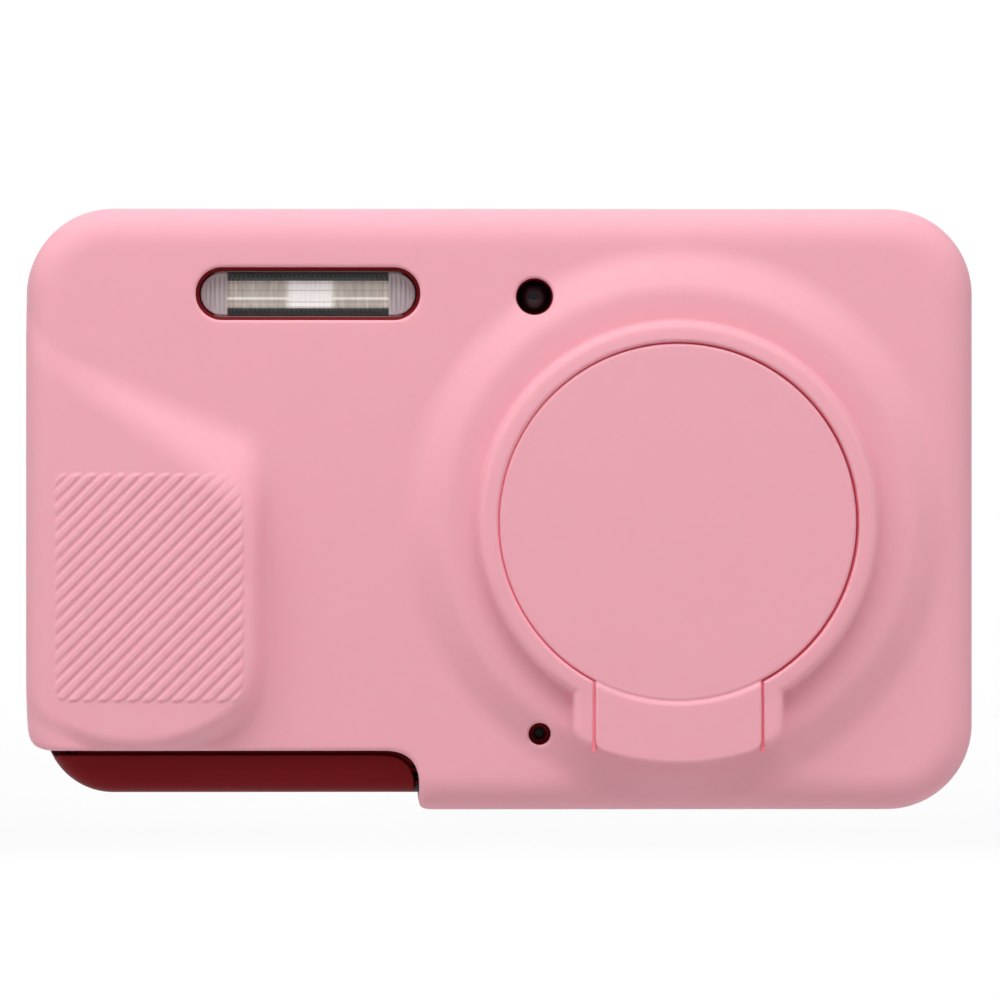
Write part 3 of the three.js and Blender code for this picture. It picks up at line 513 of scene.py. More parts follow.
SILICONE = silicone()
GAP_SILICONE_PAINTED_GLOW = painted_glow_silicone()
LACQUER = lacquer()
BAND = satin_metal("frame_metal", rgb(96, 97, 101), 0.34, stretch=(0.1, 1, 1))
BRIGHT = satin_metal("bright_metal", rgb(196, 198, 202), 0.26)
BRASS = satin_metal("contact_brass", rgb(214, 176, 96), 0.24)
RING_METAL = satin_metal("turned_metal", rgb(150, 151, 156), 0.28, stretch=(1, 8, 1))
BLACK_METAL = satin_metal("black_metal", rgb(44, 44, 47), 0.3, stretch=(1, 8, 1))
BLADE = satin_metal("blade_metal", rgb(30, 30, 33), 0.42, stretch=(0.2, 1, 1))
CHROME = satin_metal("chrome", rgb(235, 236, 238), 0.1)
COATED_GLASS = lens_coating()
CLEAR = clear_plastic()
BOARD = circuit_board()
WRAP = battery_wrap()
BLACK = plastic("black_plastic", rgb(18, 18, 20))
KEYS = plastic("key_plastic", rgb(52, 53, 57), 0.36, grain=0.1)
CARD = plastic("card_plastic", rgb(26, 44, 84), 0.4)
SOFT_RUBBER = plastic("soft_rubber", rgb(30, 29, 31), 0.7, grain=0.25)
LAMP_GLASS = plastic("lamp_glass", rgb(10, 9, 10), 0.1, grain=2, depth=0.001, gloss=0.2)
MARK_LIGHT = plastic("print_light", rgb(214, 214, 214), 0.5, grain=0.3)
MARK_DARK = plastic("print_dark", rgb(60, 60, 64), 0.5, grain=0.3)
MARK_RED = plastic("print_red", rgb(196, 30, 34), 0.45, grain=0.3)


# ---- Silicone sleeve and lens cover ----
def from_lens(x, z):
    """Distance from the lens's axis."""
    return np.hypot(x - LENS[X], z - LENS[Z])


def leaning(past, proud, across, out):
    """A flank that starts at a line on the sleeve's face and leans inwards as it stands proud."""
    return past * across + proud * out


def rib_height(x, z):
    """How far the slanting ribs stand out of the grip, over x and z."""
    across = ((z - PAD_CENTRE[1]) - (x - PAD_CENTRE[0])) / sqrt(2)
    from_rib = np.abs((across / RIB_PITCH) % 1 - 0.5) * RIB_PITCH
    pad = rounded_rect(x, z, PAD_CENTRE, PAD_HALF, PAD_CORNER)
    rib = meet(from_rib - RIB_HALF, pad + 0.1, 0.35)
    share = np.clip((RIB_EDGE - rib) / (2 * RIB_EDGE), 0, 1)
    return RIB_HEIGHT * share * share * (3 - 2 * share)


def grip(x, y, z, outline):
    """The finger grip: a wedge rising to the right, with a long sloping top and a curved foot."""
    rise, rise_from, right_line = 0.145, -46.0, -23.3
    top_point, top_normal = (-44.0, 44.8), (0.369, 0.929)
    foot_centre, foot_radius = (-35.3, 22.5), 16.8
    side_edge, face_edge, outline_edge = 2.4, 0.8, 3.0
    proud = SLEEVE_FACE - y  # how far in front of the sleeve's face
    face = (proud - rise * (x - rise_from) - rib_height(x, z)) * 0.98  # near a true distance
    past_top = (x - top_point[0]) * top_normal[0] + (z - top_point[1]) * top_normal[1]
    past_foot = np.hypot(x - foot_centre[0], np.minimum(z - foot_centre[1], 0)) - foot_radius
    right = leaning(x - right_line, proud, 0.9, 0.43)
    top = leaning(past_top, proud, 0.454, 0.891)
    foot = leaning(past_foot, proud, 0.85, 0.53)
    sides = meet(meet(right, top, side_edge), foot, side_edge)
    return meet(meet(face, sides, face_edge), outline, outline_edge)


def bulge(x, y, z, outline):
    """The flat-topped swelling round the collar."""
    cone = leaning(from_lens(x, z) - BULGE_FOOT, SLEEVE_FACE - y, 0.462, 0.887)
    return meet(meet(cone, BULGE_FACE - y, 0.4), outline + 1.0, 3.0)


def collar(x, y, z):
    """The round collar with its slightly coned face, and the ears beside the cover's tab."""
    lens = from_lens(x, z)
    ears = meet(np.abs(x - LENS[X]) - EAR_HALF, lens - REACH, 1.1)
    ears = meet(ears, z - LENS[Z] - EAR_TOP)
    ring = merge(lens - COLLAR_RADIUS, ears, 0.15)
    crown = 0.08 * (np.clip(lens, COLLAR_BORE, COLLAR_RADIUS) - COLLAR_BORE)
    return meet(meet(ring, COLLAR_FACE + crown - y, 0.85), y - COLLAR_ROOT)


def seat(x, y, z):
    """The hollow that the closed cover sits in, the slot for its tab and the lens opening."""
    lens = from_lens(x, z)
    slot = meet(np.abs(x - LENS[X]) - SLOT_HALF, z - LENS[Z] - SLOT_TOP)
    hollow = meet(merge(lens - COLLAR_BORE, slot), y - SEAT)
    return meet(merge(hollow, lens - OPENING), y)


def flash_outline(x, z, room=0.0):
    half = half_size("flash_window")[XZ] + room
    return rounded_rect(x, z, FLASH[XZ], half, half[1] - 0.01)


def front_holes(x, z, flash_room, lamp_radius, microphone_radius):
    lamp, microphone = circle(x, z, LAMP[XZ], lamp_radius), circle(x, z, MIC[XZ], microphone_radius)
    return either(flash_outline(x, z, flash_room), lamp, microphone)


def cutout(x, z):
    """The open corner at the lower left, where the camera shows."""
    return meet(x - CUTOUT_X, z - CUTOUT_Z, CUTOUT_CORNER)


def through_walls(x, z, top, base, right, left, heights, side):
    """Openings in four walls, each only beyond its own wall's inside, as one field."""
    upright = meet(base, z - heights[0]), meet(top, heights[1] - z)
    return either(*upright, meet(right, side - x), meet(left, x + side))


def control_holes(x, y, z):
    """The sleeve's openings for controls, connector, strap and tripod bush."""
    buttons = rounded_rect(x, y, (-26.4, 2.0), (15.5, 7.6), 5.0)
    speaker = rounded_rect(x, y, middle("speaker")[XY], (4.1, 1.4), 1.39)
    port = rounded_rect(y, z, (2.8, middle("port_cover")[Z]), (5.9, 9.45), 3.0)
    strap = rounded_rect(y, z, middle("strap_lug")[YZ], (3.4, 5.4), 2.4)
    thread = circle(x, y, middle("tripod_bush")[XY], 6.0)
    return through_walls(x, z, either(buttons, speaker), thread, port, strap, (3, 55), 43)


def sleeve_field(x, y, z):
    outline = rounded_rect(x, z, (0, MID_Z), (HALF_X, HALF_Z), SLEEVE_CORNER)
    body = slab(y, outline, SLEEVE_FACE, SLEEVE_HIGH[Y], 4.0, 3.0)
    body = merge(body, grip(x, y, z, outline), 0.6)
    body = merge(body, bulge(x, y, z, outline), 0.5)
    body = merge(body, collar(x, y, z), 0.45)

    pocket = rounded_rect(x, z, (0, MID_Z), (BODY_X + FIT, BODY_Z + FIT), BODY_CORNER)
    body = cut(body, slab(y, pocket, BODY_FRONT - FIT, BODY_BACK + FIT, 3.2, 2.6), 0.3)
    rim, rear_corner, rear_from = 3.3, 5.4, 10
    rear = rounded_rect(x, z, (0, MID_Z), (HALF_X - rim, HALF_Z - rim), rear_corner)
    body = cut(body, meet(rear, rear_from - y), 0.9)
    body = cut(body, seat(x, y, z), 0.35)
    body = cut(body, meet(front_holes(x, z, 0.46, 1.86, 1.12), y), 0.35)

    corner = merge(cutout(x, z), z - SLEEVE_LOW[Z] + CUTOUT_FLARE, 1.5)
    corner = merge(corner, x - SLEEVE_LOW[X] + CUTOUT_FLARE, 3.2)
    body = cut(body, corner, 0.5)
    return cut(body, control_holes(x, y, z), 0.5)


def sleeve():
    finer = (
        ((-45.4, -25.5, 0.16), (-8.0, 40.0, 0.26)),  # the ribs, and the bulge with its collar
        ((-14.0, -9.0, 0.2),),
        ((10.5, 34.2, 0.16), (4.0, 50.0, 0.26)),
    )
    names = "silicone_sleeve", "silicone_sleeve_skin", CAMERA
    moulded(*names, sleeve_field, SILICONE, 0.6, (0.34, 0.4, 0.34), finer)


def cover_field(x, y, z):
    lens = from_lens(x, z)
    step = (COVER_FACE - y) - 0.8 * (lens - 18.0)  # lit step between the tab and the disc
    tab = meet(np.abs(x - LENS[X]) - TAB_HALF, lens - REACH, 0.9)
    tab = meet(tab, meet(COLLAR_FACE - y, step * 0.78, 0.12), 0.4)
    tab = meet(tab, merge(17.4 - lens, z - LENS[Z] + 20))
    tab = meet(tab, z - LENS[Z] + 10)
    disc = circle(x, z, LENS[XZ] - (COVER_ASIDE, 0), COVER_RADIUS)
    disc = meet(disc, COVER_FACE - y, 0.35)
    shape = meet(merge(disc, tab, 0.15), y - COVER_BACK, 0.2)
    skirt_radius, skirt_half, skirt_end = 16.4, 0.5, -9.4
    skirt = meet(np.abs(lens - skirt_radius) - skirt_half, y - skirt_end, 0.3)
    skirt = meet(meet(skirt, LENS[Z] + 0.5 - z, 0.3), COVER_BACK - 0.5 - y)
    return merge(shape, skirt, 0.3)


def cover():
    """The lens cover, made closed with its place baked into the mesh; the real cover bends at the
    foot of its tab as it folds down.
    """
    foot = span("lens_cover", Z)[0]
    finer = (
        ((LENS[X] - 9, LENS[X] + 9, 0.14),),
        ((COLLAR_FACE - 0.2, COVER_FACE + 0.4, 0.1),),
        ((foot - 0.2, 15, 0.14),),
    )
    names, steps = ("lens_cover", "lens_cover_skin", None), (0.25, 0.2, 0.25)
    piece = moulded(*names, cover_field, SILICONE, 0.5, steps, finer)
    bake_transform(piece)


# ---- Camera casing and flash window ----
def casing_outside(x, y, z):
    outline = rounded_rect(x, z, (0, MID_Z), (BODY_X, BODY_Z), BODY_CORNER)
    return slab(y, outline, BODY_FRONT, BODY_BACK, 3.8, 2.8)


def casing_wall(x, y, z):
    """The camera's whole casing as one hollow wall, before it is parted."""
    inner = rounded_rect(x, z, (0, MID_Z), (BODY_X - SHELL, BODY_Z - SHELL), BODY_CORNER - SHELL)
    inside = slab(y, inner, BODY_FRONT + SHELL, BODY_BACK - SHELL, 2.2, 1.6)
    return cut(casing_outside(x, y, z), inside, 0.2)


def front_shell_field(x, y, z):
    shell = meet(casing_wall(x, y, z), y - span("front_shell", Y)[1], 0.25)
    holes = either(front_holes(x, z, 0.1, 1.71, 0.6), from_lens(x, z) - 13.6)
    near, far, depth, left_end = 0.4, 1.2, 0.7, -44.9  # shadow line along the sleeve's edge
    groove = meet(-near - cutout(x, z), cutout(x, z) - far)
    groove = meet(meet(groove, left_end - x), -depth - casing_outside(x, y, z))
    return cut(cut(shell, meet(holes, y), 0.3), groove, 0.15)


def band_field(x, y, z):
    band = slab(y, casing_wall(x, y, z), *span("frame_band", Y), 0.25, 0.25)
    door_middle, door_half = middle("battery_door")[XY], half_size("battery_door")[XY]
    door = rounded_rect(x, y, door_middle + (0, 0.4), door_half + (0.15, 0.55), 0.6)
    below = either(door, circle(x, y, middle("tripod_bush")[XY], 4.6))
    strap = rounded_rect(y, z, middle("strap_lug")[YZ], (2.4, 4.4), 1.6)
    port = rounded_rect(y, z, middle("port_cover")[YZ], half_size("port_cover")[YZ] + 0.1, 1.5)
    shutter = circle(x, y, middle("shutter_button")[XY], 5.35)
    power = circle(x, y, middle("power_button")[XY], 3.05)
    shifts = [(1.3 * step, 0) for step in range(-2, 3)]
    speaker = [circle(x, y, middle("speaker")[XY] + shift, 0.45) for shift in shifts]
    top = either(shutter, power, *speaker)
    return cut(band, through_walls(x, z, top, below, port, strap, (4, 52), 40), 0.2)


def rear_shell_field(x, y, z):
    shell = meet(casing_wall(x, y, z), span("rear_shell", Y)[0] - y, 0.25)
    window_half = half_size("lcd_window")[XZ] + 0.12
    holes = rounded_rect(x, z, middle("lcd_window")[XZ], window_half, 1.6)
    holes = either(holes, circle(x, z, middle("nav_ring")[XZ], 8.65))
    for node in (name + "_button" for name in ("menu", "play", "delete", "record")):
        radius = half_size(node)[X] - KEY_FLANGE + 0.15
        holes = either(holes, circle(x, z, middle(node)[XZ], radius))
    return cut(shell, meet(holes, 8 - y), 0.25)


def casing():
    for name, field, material in (
        ("front_shell", front_shell_field, LACQUER),
        ("frame_band", band_field, BAND),
        ("rear_shell", rear_shell_field, LACQUER),
    ):
        steps = (0.34, 0.22, 0.34)
        moulded(name, name + "_skin", CAMERA, field, material, 0.5, steps)


def flash_window():
    """A clear window with upright ribs moulded on its face."""
    (front, back), pitch, depth, flat_rim = span("flash_window", Y), 0.46, 0.05, 0.6

    def field(x, y, z):
        outline = flash_outline(x, z)
        rib = depth * np.cos(2 * pi * (x - FLASH[X]) / pitch)
        flat = np.clip((outline + flat_rim) / 0.3, 0, 1)
        return slab(y, outline, front + depth - rib * (1 - flat), back, 0.25, 0.2)

    names = "flash_window", "flash_window_ribbed", CAMERA
    # the window's material paints what lies behind it, with painted reflection, painted highlights
    # and painted shade
    moulded(*names, field, flash_optics(), 0.3, (0.075, 0.12, 0.15))


# ---- Turned and flat pieces ----
def eased_corners(profile, soft, closed):
    """The profile with a small curve in place of each corner, and a point just past each curve's
    ends, so that the flat stretches shade flat."""
    rounded = []
    for i, corner in enumerate(profile):
        if not closed and i in (0, len(profile) - 1):
            rounded.append(corner)
            continue
        here, before, after = (
            np.array(profile[j % len(profile)], float) for j in (i, i - 1, i + 1)
        )
        start, end = before - here, after - here
        start *= min(soft / np.linalg.norm(start), 0.45)
        end *= min(soft / np.linalg.norm(end), 0.45)
        curve = [(1 - t) ** 2 * start + t**2 * end for t in (0, 0.25, 0.5, 0.75, 1)]
        rounded += [tuple(here + move) for move in (1.1 * start, *curve, 1.1 * end)]
    return rounded


def rounded_outline(half, corner, inset):
    """Points round a rounded rectangle, counter-clockwise, moved inwards by the inset."""
    radius, steps = max(corner - inset, 0.02), 7
    half_u, half_v = half[0] - inset - radius, half[1] - inset - radius
    points = []
    for quarter, (u, v) in enumerate(((1, 1), (-1, 1), (-1, -1), (1, -1))):
        for angle in (pi / 2 * (quarter + i / steps) for i in range(steps + 1)):
            along_u, along_v = radius * cos(angle), radius * sin(angle)
            points.append((u * half_u + along_u, v * half_v + along_v))
    return points


def centre_of(ring):
    return [tuple(np.mean(ring, axis=0))]


class Shape:
    """One piece under construction: solids added one after another, each with its material."""

    AXES = {"x": (Y, Z, X), "y": (X, Z, Y), "z": (X, Y, Z)}

    def __init__(self):
        self.points, self.faces, self.looks, self.materials = [], [], [], []

    def rings(self, rings, material, loop=False):
        """Joins rings of points. A ring of one point is a pole, where two corners fall together."""
        if material not in self.materials:
            self.materials.append(material)
        starts = []
        for ring in rings:
            starts.append((len(self.points), len(ring)))
            self.points.extend(ring)
        for (a, count_a), (b, count_b) in zip(starts, starts[1:] + starts[:1] * loop):
            count = max(count_a, count_b)
            if count == 1:
                continue  # nothing lies between two poles
            for i in range(count):
                j = (i + 1) % count
                quad = (a + i % count_a, b + i % count_b, b + j % count_b, a + j % count_a)
                self.faces.append(tuple(dict.fromkeys(quad)))
                self.looks.append(self.materials.index(material))
        return self

    def ring(self, axis, centre, outline, along):
        """Points of an outline about a centre, at a place along the axis."""
        u, v, w = self.AXES[axis]
        points = []
        for across, up in outline:
            point = [0, 0, 0]
            point[u], point[v], point[w] = centre[u] + across, centre[v] + up, along
            points.append(tuple(point))
        return points

    def turned(self, profile, centre, axis, material, soft=0.15, segments=96):
        """Turns (radius, place along the axis) points round an axis through the centre."""
        closed = profile[0][0] > 0
        turns = [2 * pi * i / segments for i in range(segments)]
        rings = []
        for radius, along in eased_corners(profile, soft, closed):
            outline = [(radius * cos(t), radius * sin(t)) for t in turns]
            rings.append(self.ring(axis, centre, outline if radius > 0 else [(0, 0)], along))
        return self.rings(rings, material, loop=closed)

    def plate(self, low, high, axis, corner, material, soft=0.2):
        """A slab between two corners, with rounded corners seen along the axis and eased rims."""
        u, v, w = self.AXES[axis]
        centre, half = (np.array(low) + high) / 2, ((high[u] - low[u]) / 2, (high[v] - low[v]) / 2)
        levels = [(soft + 0.05, low[w])]
        steps = 3
        turns = [pi / 2 * i / steps for i in range(steps + 1)]
        levels += [(soft * (1 - sin(t)), low[w] + soft * (1 - cos(t))) for t in turns]
        levels += [(soft * (1 - cos(t)), high[w] - soft * (1 - sin(t))) for t in turns]
        levels.append((soft + 0.05, high[w]))
        rings = []
        for inset, along in levels:
            rings.append(self.ring(axis, centre, rounded_outline(half, corner, inset), along))
        return self.rings([centre_of(rings[0])] + rings + [centre_of(rings[-1])], material)

    def build(self, name, body, node=None, sharp=32):
        mesh = bpy.data.meshes.new(name)
        mesh.from_pydata([tuple(c * MM for c in p) for p in self.points], [], self.faces)
        work = bmesh.new()
        work.from_mesh(mesh)
        bmesh.ops.recalc_face_normals(work, faces=work.faces)
        work.to_mesh(mesh)
        work.free()
        mesh.shade_smooth()
        mesh.set_sharp_from_angle(angle=radians(sharp))
        piece = place(name, mesh, self.materials[0], body, node)
        for extra in self.materials[1:]:
            mesh.materials.append(extra)
        mesh.polygons.foreach_set("material_index", self.looks)
        return piece


def lathe(node, name, body, profile, axis, material, soft=0.15, segments=96):
    """A CAD node's place taken by one profile turned about the node's own middle."""
    shape = Shape().turned(profile, middle(node), axis, material, soft, segments)
    shape.build(name, body, node)


def seat_lip():
    """The sleeve's lip under the gap round the closed cover, and its strips beside the tab."""
    inner, outer, back = COVER_RADIUS + COVER_ASIDE + LIP_ROOM, COLLAR_BORE + 0.12, SEAT - 0.3
    ring = [(inner, GAP_FLOOR), (outer, GAP_FLOOR), (outer, back), (inner, back)]
    # the lip's material carries a painted glow and a painted deeper red
    lip = Shape().turned(ring, LENS, "y", GAP_SILICONE_PAINTED_GLOW, 0.03, 192)
    for side in (-1, 1):
        near, far = sorted((side * (TAB_HALF + LIP_ROOM), side * (SLOT_HALF + 0.1)))
        low = (LENS[X] + near, GAP_FLOOR, LENS[Z] - REACH + 1.2)
        high = (LENS[X] + far, back, LENS[Z] - 15.9)
        lip.plate(low, high, "y", 0.03, GAP_SILICONE_PAINTED_GLOW, 0.03)
    lip.points = [(x, y + GAP_TILT * (x - LENS[X]), z) for x, y, z in lip.points]
    lip.build("seat_lip", CAMERA)


def lamp_and_microphone():
    front, back = span("af_lamp_window", Y)
    dome_radius, dome_rise, flange = 1.65, 0.26, 1.3
    dome = [(r, front + dome_rise * r**2) for r in (0, 0.4, 0.8, 1.2, dome_radius)]
    dome += [(dome_radius, back - flange), (2.2, back - flange), (2.2, back), (0, back)]
    lathe("af_lamp_window", "af_lamp_dome", CAMERA, dome, "y", LAMP_GLASS, 0.1)
    front, back = span("microphone", Y)
    can = [(0, front + 0.2), (0.5, front + 0.2), (0.5, front), (2.0, front), (2.0, back), (0, back)]
    lathe("microphone", "microphone_can", CAMERA, can, "y", BLACK, 0.12, 48)


# ---- Lens, seen when the cover is down ----
def base_ring():
    """The metal ring round the lens, with a fine groove in its face."""
    front, back = span("lens_base_ring", Y)
    bore, foot, outer, under_shell = 13.15, 13.5, 15.6, BODY_FRONT - 0.05
    ring = [(bore, front + 0.5), (13.6, front), (14.2, front), (14.3, front + 0.12)]
    ring += [(14.4, front + 0.12), (14.5, front), (15.1, front), (outer, front + 0.6)]
    ring += [(outer, under_shell), (foot, under_shell), (foot, back), (bore, back)]
    lathe("lens_base_ring", "lens_base_ring_turned", CAMERA, ring, "y", RING_METAL, 0.12)


def barrel(side, body, inner, outer, material):
    """A tube with a chamfered mouth and two fine grooves behind it."""
    node = "lens_barrel_" + side
    front, back = span(node, Y)
    profile = [(inner, front + 0.25), (inner + 0.25, front), (outer - 0.3, front)]
    profile.append((outer, front + 0.3))
    floor = outer - 0.08
    for groove in (front + 1.1, front + 1.6):
        profile += [(outer, groove), (floor, groove + 0.07)]
        profile += [(floor, groove + 0.15), (outer, groove + 0.22)]
    profile += [(outer, back), (inner, back)]
    lathe(node, f"barrel_{side}_turned", body, profile, "y", material, 0.06)


def front_ring():
    """The black ring round the front lens, which steps down to it."""
    front, back = span("lens_front_ring", Y)
    outer, rim, bore, dip, steps = 10.6, 9.9, 5.0, 0.5, 8
    face = [(outer, back), (outer, front), (rim, front)]
    for i in range(1, steps + 1):
        radius, along = rim + (bore - rim) * i / steps, front + dip * i / steps
        face += [(radius + 0.12, along - 0.06), (radius, along)]
    face += [(bore - 0.3, front + dip + 0.05), (bore - 0.3, back)]
    lathe("lens_front_ring", "lens_front_ring_stepped", "lens_stage_2", face, "y", BLACK, 0.05)


def front_lens():
    (front, back), radius, steps = span("front_lens", Y), half_size("front_lens")[X], 10
    shares = [i / steps for i in range(steps + 1)]
    glass = [(radius * share, front + 1.1 * share**2) for share in shares]
    glass += [(radius * share, back - 0.6 * share**2) for share in reversed(shares)]
    lathe("front_lens", "front_lens_polished", "lens_stage_2", glass, "y", COATED_GLASS, 0.03)


def lens_stack():
    base_ring()
    barrel("outer", "lens_stage_1", 11.8, 12.9, RING_METAL)
    barrel("inner", "lens_stage_2", 10.7, 11.7, BLACK_METAL)
    front_ring()
    front_lens()


# ---- Controls on top ----
def shutter_button():
    low, high = span("shutter_button", Z)
    stem, cap, cap_foot = 1.2, 4.2, high - 3.3
    button = [(0, low), (stem, low), (stem, cap_foot), (cap, cap_foot), (cap, high - 0.3)]
    button += [(3.9, high), (3.2, high - 0.02), (1.6, high - 0.2), (0, high - 0.25)]
    lathe("shutter_button", "shutter_button_dished", "shutter", button, "z", BRIGHT, 0.2)


def return_spring():
    """The coil under the shutter button, on a mesh of its own; the real coil shortens as the button
    goes down.
    """
    wire, turns, per_turn, sides = 0.22, 3.5, 28, 10
    (low, high), centre = span("shutter_spring", Z), middle("shutter_button")
    radius, rise = half_size("shutter_spring")[X] - wire, high - low - 2 * wire
    rings = []
    for i in range(round(turns * per_turn) + 1):
        angle, climb = 2 * pi * i / per_turn, rise * i / (turns * per_turn)
        rings.append([])
        for turn in (2 * pi * j / sides for j in range(sides)):
            out, up = radius + wire * cos(turn), low + wire + climb + wire * sin(turn)
            at = (centre[X] + out * cos(angle), centre[Y] + out * sin(angle), up)
            rings[-1].append(at)
    coil = Shape().rings([centre_of(rings[0])] + rings + [centre_of(rings[-1])], BRIGHT)
    piece = coil.build("shutter_spring_coil", CAMERA, "shutter_spring", sharp=50)
    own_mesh(piece)


def zoom_lever():
    """The ring round the shutter button, with a ribbed finger tab at its front."""
    (base, top), centre = span("zoom_lever", Z), middle("shutter_button")
    bore, neck, rim, rim_foot = 4.45, 5.2, 6.5, base + 2.35
    ring = [(bore, base), (6, base), (6, base + 0.9), (neck, base + 0.9), (neck, rim_foot)]
    ring += [(rim, rim_foot), (rim, top - 0.4), (6.1, top), (bore, top)]
    lever = Shape().turned(ring, centre, "z", KEYS, 0.18)
    tab = np.array([centre[X], span("zoom_lever", Y)[0], 0])
    tab_low, tab_high = tab + (-1.7, 0, base + 2.4), tab + (1.7, 2.2, top - 0.1)
    lever.plate(tab_low, tab_high, "z", 0.6, KEYS, 0.2)
    pitch, half = 0.45, 0.1
    for step in range(-3, 4):
        rib_low = tab + (step * pitch - half, -0.02, base + 2.6)
        rib_high = tab + (step * pitch + half, 1.2, top + 0.02)
        lever.plate(rib_low, rib_high, "z", 0.1, KEYS, 0.08)
    lever.build("zoom_lever_ring", "zoom_ring", "zoom_lever")


def power_button():
    """A small dished button with a ring and bar on it."""
    low, high = span("power_button", Z)
    stem, flange, cap, flange_top = 1, 3.5, 2.9, high - 2.3
    button = [(0, low), (stem, low), (stem, high - 3.1), (flange, high - 3.1)]
    button += [(flange, flange_top), (cap, flange_top), (cap, high - 0.3)]
    button += [(2.6, high), (1.9, high - 0.05), (0, high - 0.14)]
    lathe("power_button", "power_button_dished", "power_key", button, "z", BRIGHT)
    centre = middle("power_button")
    mark_low, mark_high = high - 0.13, high - 0.05
    ring = [(0.95, mark_low), (1.15, mark_low), (1.15, mark_high), (0.95, mark_high)]
    mark = Shape().turned(ring, centre, "z", MARK_DARK, 0.02, 48)
    bar = np.array([centre[X], centre[Y], high])
    mark.plate(bar + (-0.11, 0.1, -0.13), bar + (0.11, 1.5, -0.04), "z", 0.1, MARK_DARK, 0.02)
    mark.build("power_mark", "power_key")


# ---- Back: screen, keys and four-way ring ----
def screen():
    window = Shape().plate(*ends("lcd_window"), "y", 1.5, screen_glass(), 0.25)
    window.build("lcd_window_glass", CAMERA, "lcd_window")


def key(name, marks):
    """A round rear button with a slightly domed cap, and its mark's bars."""
    node = name + "_button"
    (front, back), centre, flange = span(node, Y), middle(node), half_size(node)[X]
    cap, flange_back, mark_depth, mark_height = flange - KEY_FLANGE, front + 0.65, 0.1, 0.03
    profile = [(0, front), (flange, front), (flange, flange_back), (cap, flange_back)]
    profile += [(cap, back - 0.3), (cap - 0.35, back - 0.04), (cap * 0.5, back), (0, back)]
    shape = Shape().turned(profile, centre, "y", KEYS, 0.15, 64)
    for low_x, low_z, high_x, high_z, corner in marks:
        low = (centre[X] + low_x, back - mark_depth, centre[Z] + low_z)
        high = (centre[X] + high_x, back + mark_height, centre[Z] + high_z)
        shape.plate(low, high, "y", corner, MARK_LIGHT, 0.02)
    shape.build(node + "_cap", name + "_key", node)


def small_keys():
    """Three bars, a frame, a bin and a red dot."""
    key("menu", [(-0.8, v - 0.11, 0.8, v + 0.11, 0.1) for v in (-0.55, 0, 0.55)])
    uprights = [(-0.9, -0.65, -0.7, 0.65, 0.05), (0.7, -0.65, 0.9, 0.65, 0.05)]
    key("play", uprights + [(-0.9, -0.65, 0.9, -0.47, 0.05), (-0.9, 0.47, 0.9, 0.65, 0.05)])
    key("delete", [(-0.55, -0.75, 0.55, 0.35, 0.15), (-0.8, 0.5, 0.8, 0.68, 0.05)])
    key("record", [])
    centre, back = middle("record_button"), span("record_button", Y)[1]
    dot = [(0, back - 0.1), (0.75, back - 0.1), (0.75, back + 0.03), (0, back + 0.05)]
    Shape().turned(dot, centre, "y", MARK_RED, 0.03, 48).build("record_mark", "record_key")


def four_way_ring():
    (front, back), centre = span("nav_ring", Y), middle("nav_ring")
    bore, flange, outer, dot_orbit = 4.4, 8.9, 8.4, 6.2
    ring = [(bore, front + 0.25), (5.6, front + 0.25), (5.6, front), (flange, front)]
    ring += [(flange, front + 0.5), (outer, front + 0.5), (outer, back - 0.3), (8.1, back)]
    ring += [(6.8, back - 0.12), (5.4, back - 0.14), (4.6, back), (bore, back - 0.2)]
    pad = Shape().turned(ring, centre, "y", KEYS, 0.15)
    dot = [(0, back - 0.2), (0.4, back - 0.2), (0.4, back - 0.09), (0, back - 0.07)]
    for angle in (pi / 2 * quarter for quarter in range(4)):
        spot = centre + (dot_orbit * cos(angle), 0, dot_orbit * sin(angle))
        pad.turned(dot, spot, "y", MARK_LIGHT, 0.02, 24)
    pad.build("nav_ring_dished", "nav_pad", "nav_ring")


def ok_button():
    (front, back), centre, radius = span("ok_button", Y), middle("ok_button"), 3.95
    cap = [(0, front), (radius, front), (radius, back - 0.3), (3.6, back - 0.05)]
    cap += [(2.0, back), (0, back)]
    button = Shape().turned(cap, centre, "y", KEYS, 0.15, 64)
    ring = [(1.3, back - 0.1), (1.5, back - 0.1), (1.5, back + 0.03), (1.3, back + 0.03)]
    button.turned(ring, centre, "y", MARK_LIGHT, 0.02, 48)
    button.build("ok_button_cap", "ok_key", "ok_button")


# ---- Sides and underside ----
def tripod_bush():
    """A stepped bush whose bore has modelled thread ridges."""
    low, high = span("tripod_bush", Z)
    bore, crest, pitch, outer, flange = 3.32, 3.1, 1.27, 4.5, 5.6
    bore_end, flange_low, flange_high = low + 5.5, low + 1.3, low + 2.5
    profile = [(0, bore_end), (0, high), (outer, high), (outer, flange_high)]
    profile += [(flange, flange_high), (flange, flange_low), (outer, flange_low)]
    profile += [(outer, low), (3.7, low)]
    at = low + 0.4
    while at + pitch < bore_end - 0.1:
        profile += [(crest, at), (crest, at + 0.2)]
        profile += [(bore, at + pitch * 0.55), (bore, at + pitch * 0.65)]
        at += pitch
    profile += [(bore, bore_end), (0, bore_end)]
    lathe("tripod_bush", "tripod_bush_threaded", CAMERA, profile, "z", BRIGHT, 0.06, 64)


def port_cover():
    """A soft cover with three finger ribs, flush in the side."""
    low, high = ends("port_cover")
    shape = Shape().plate(low, high, "x", 1.4, SOFT_RUBBER, 0.2)
    for step in range(3):
        rib_low = np.array([high[X] - 0.05, low[Y] + 0.8 + step * 0.7, low[Z] + 5])
        shape.plate(rib_low, rib_low + (0.16, 0.35, 4.7), "x", 0.17, SOFT_RUBBER, 0.08)
    shape.build("port_cover_moulded", "port_cover", "port_cover")


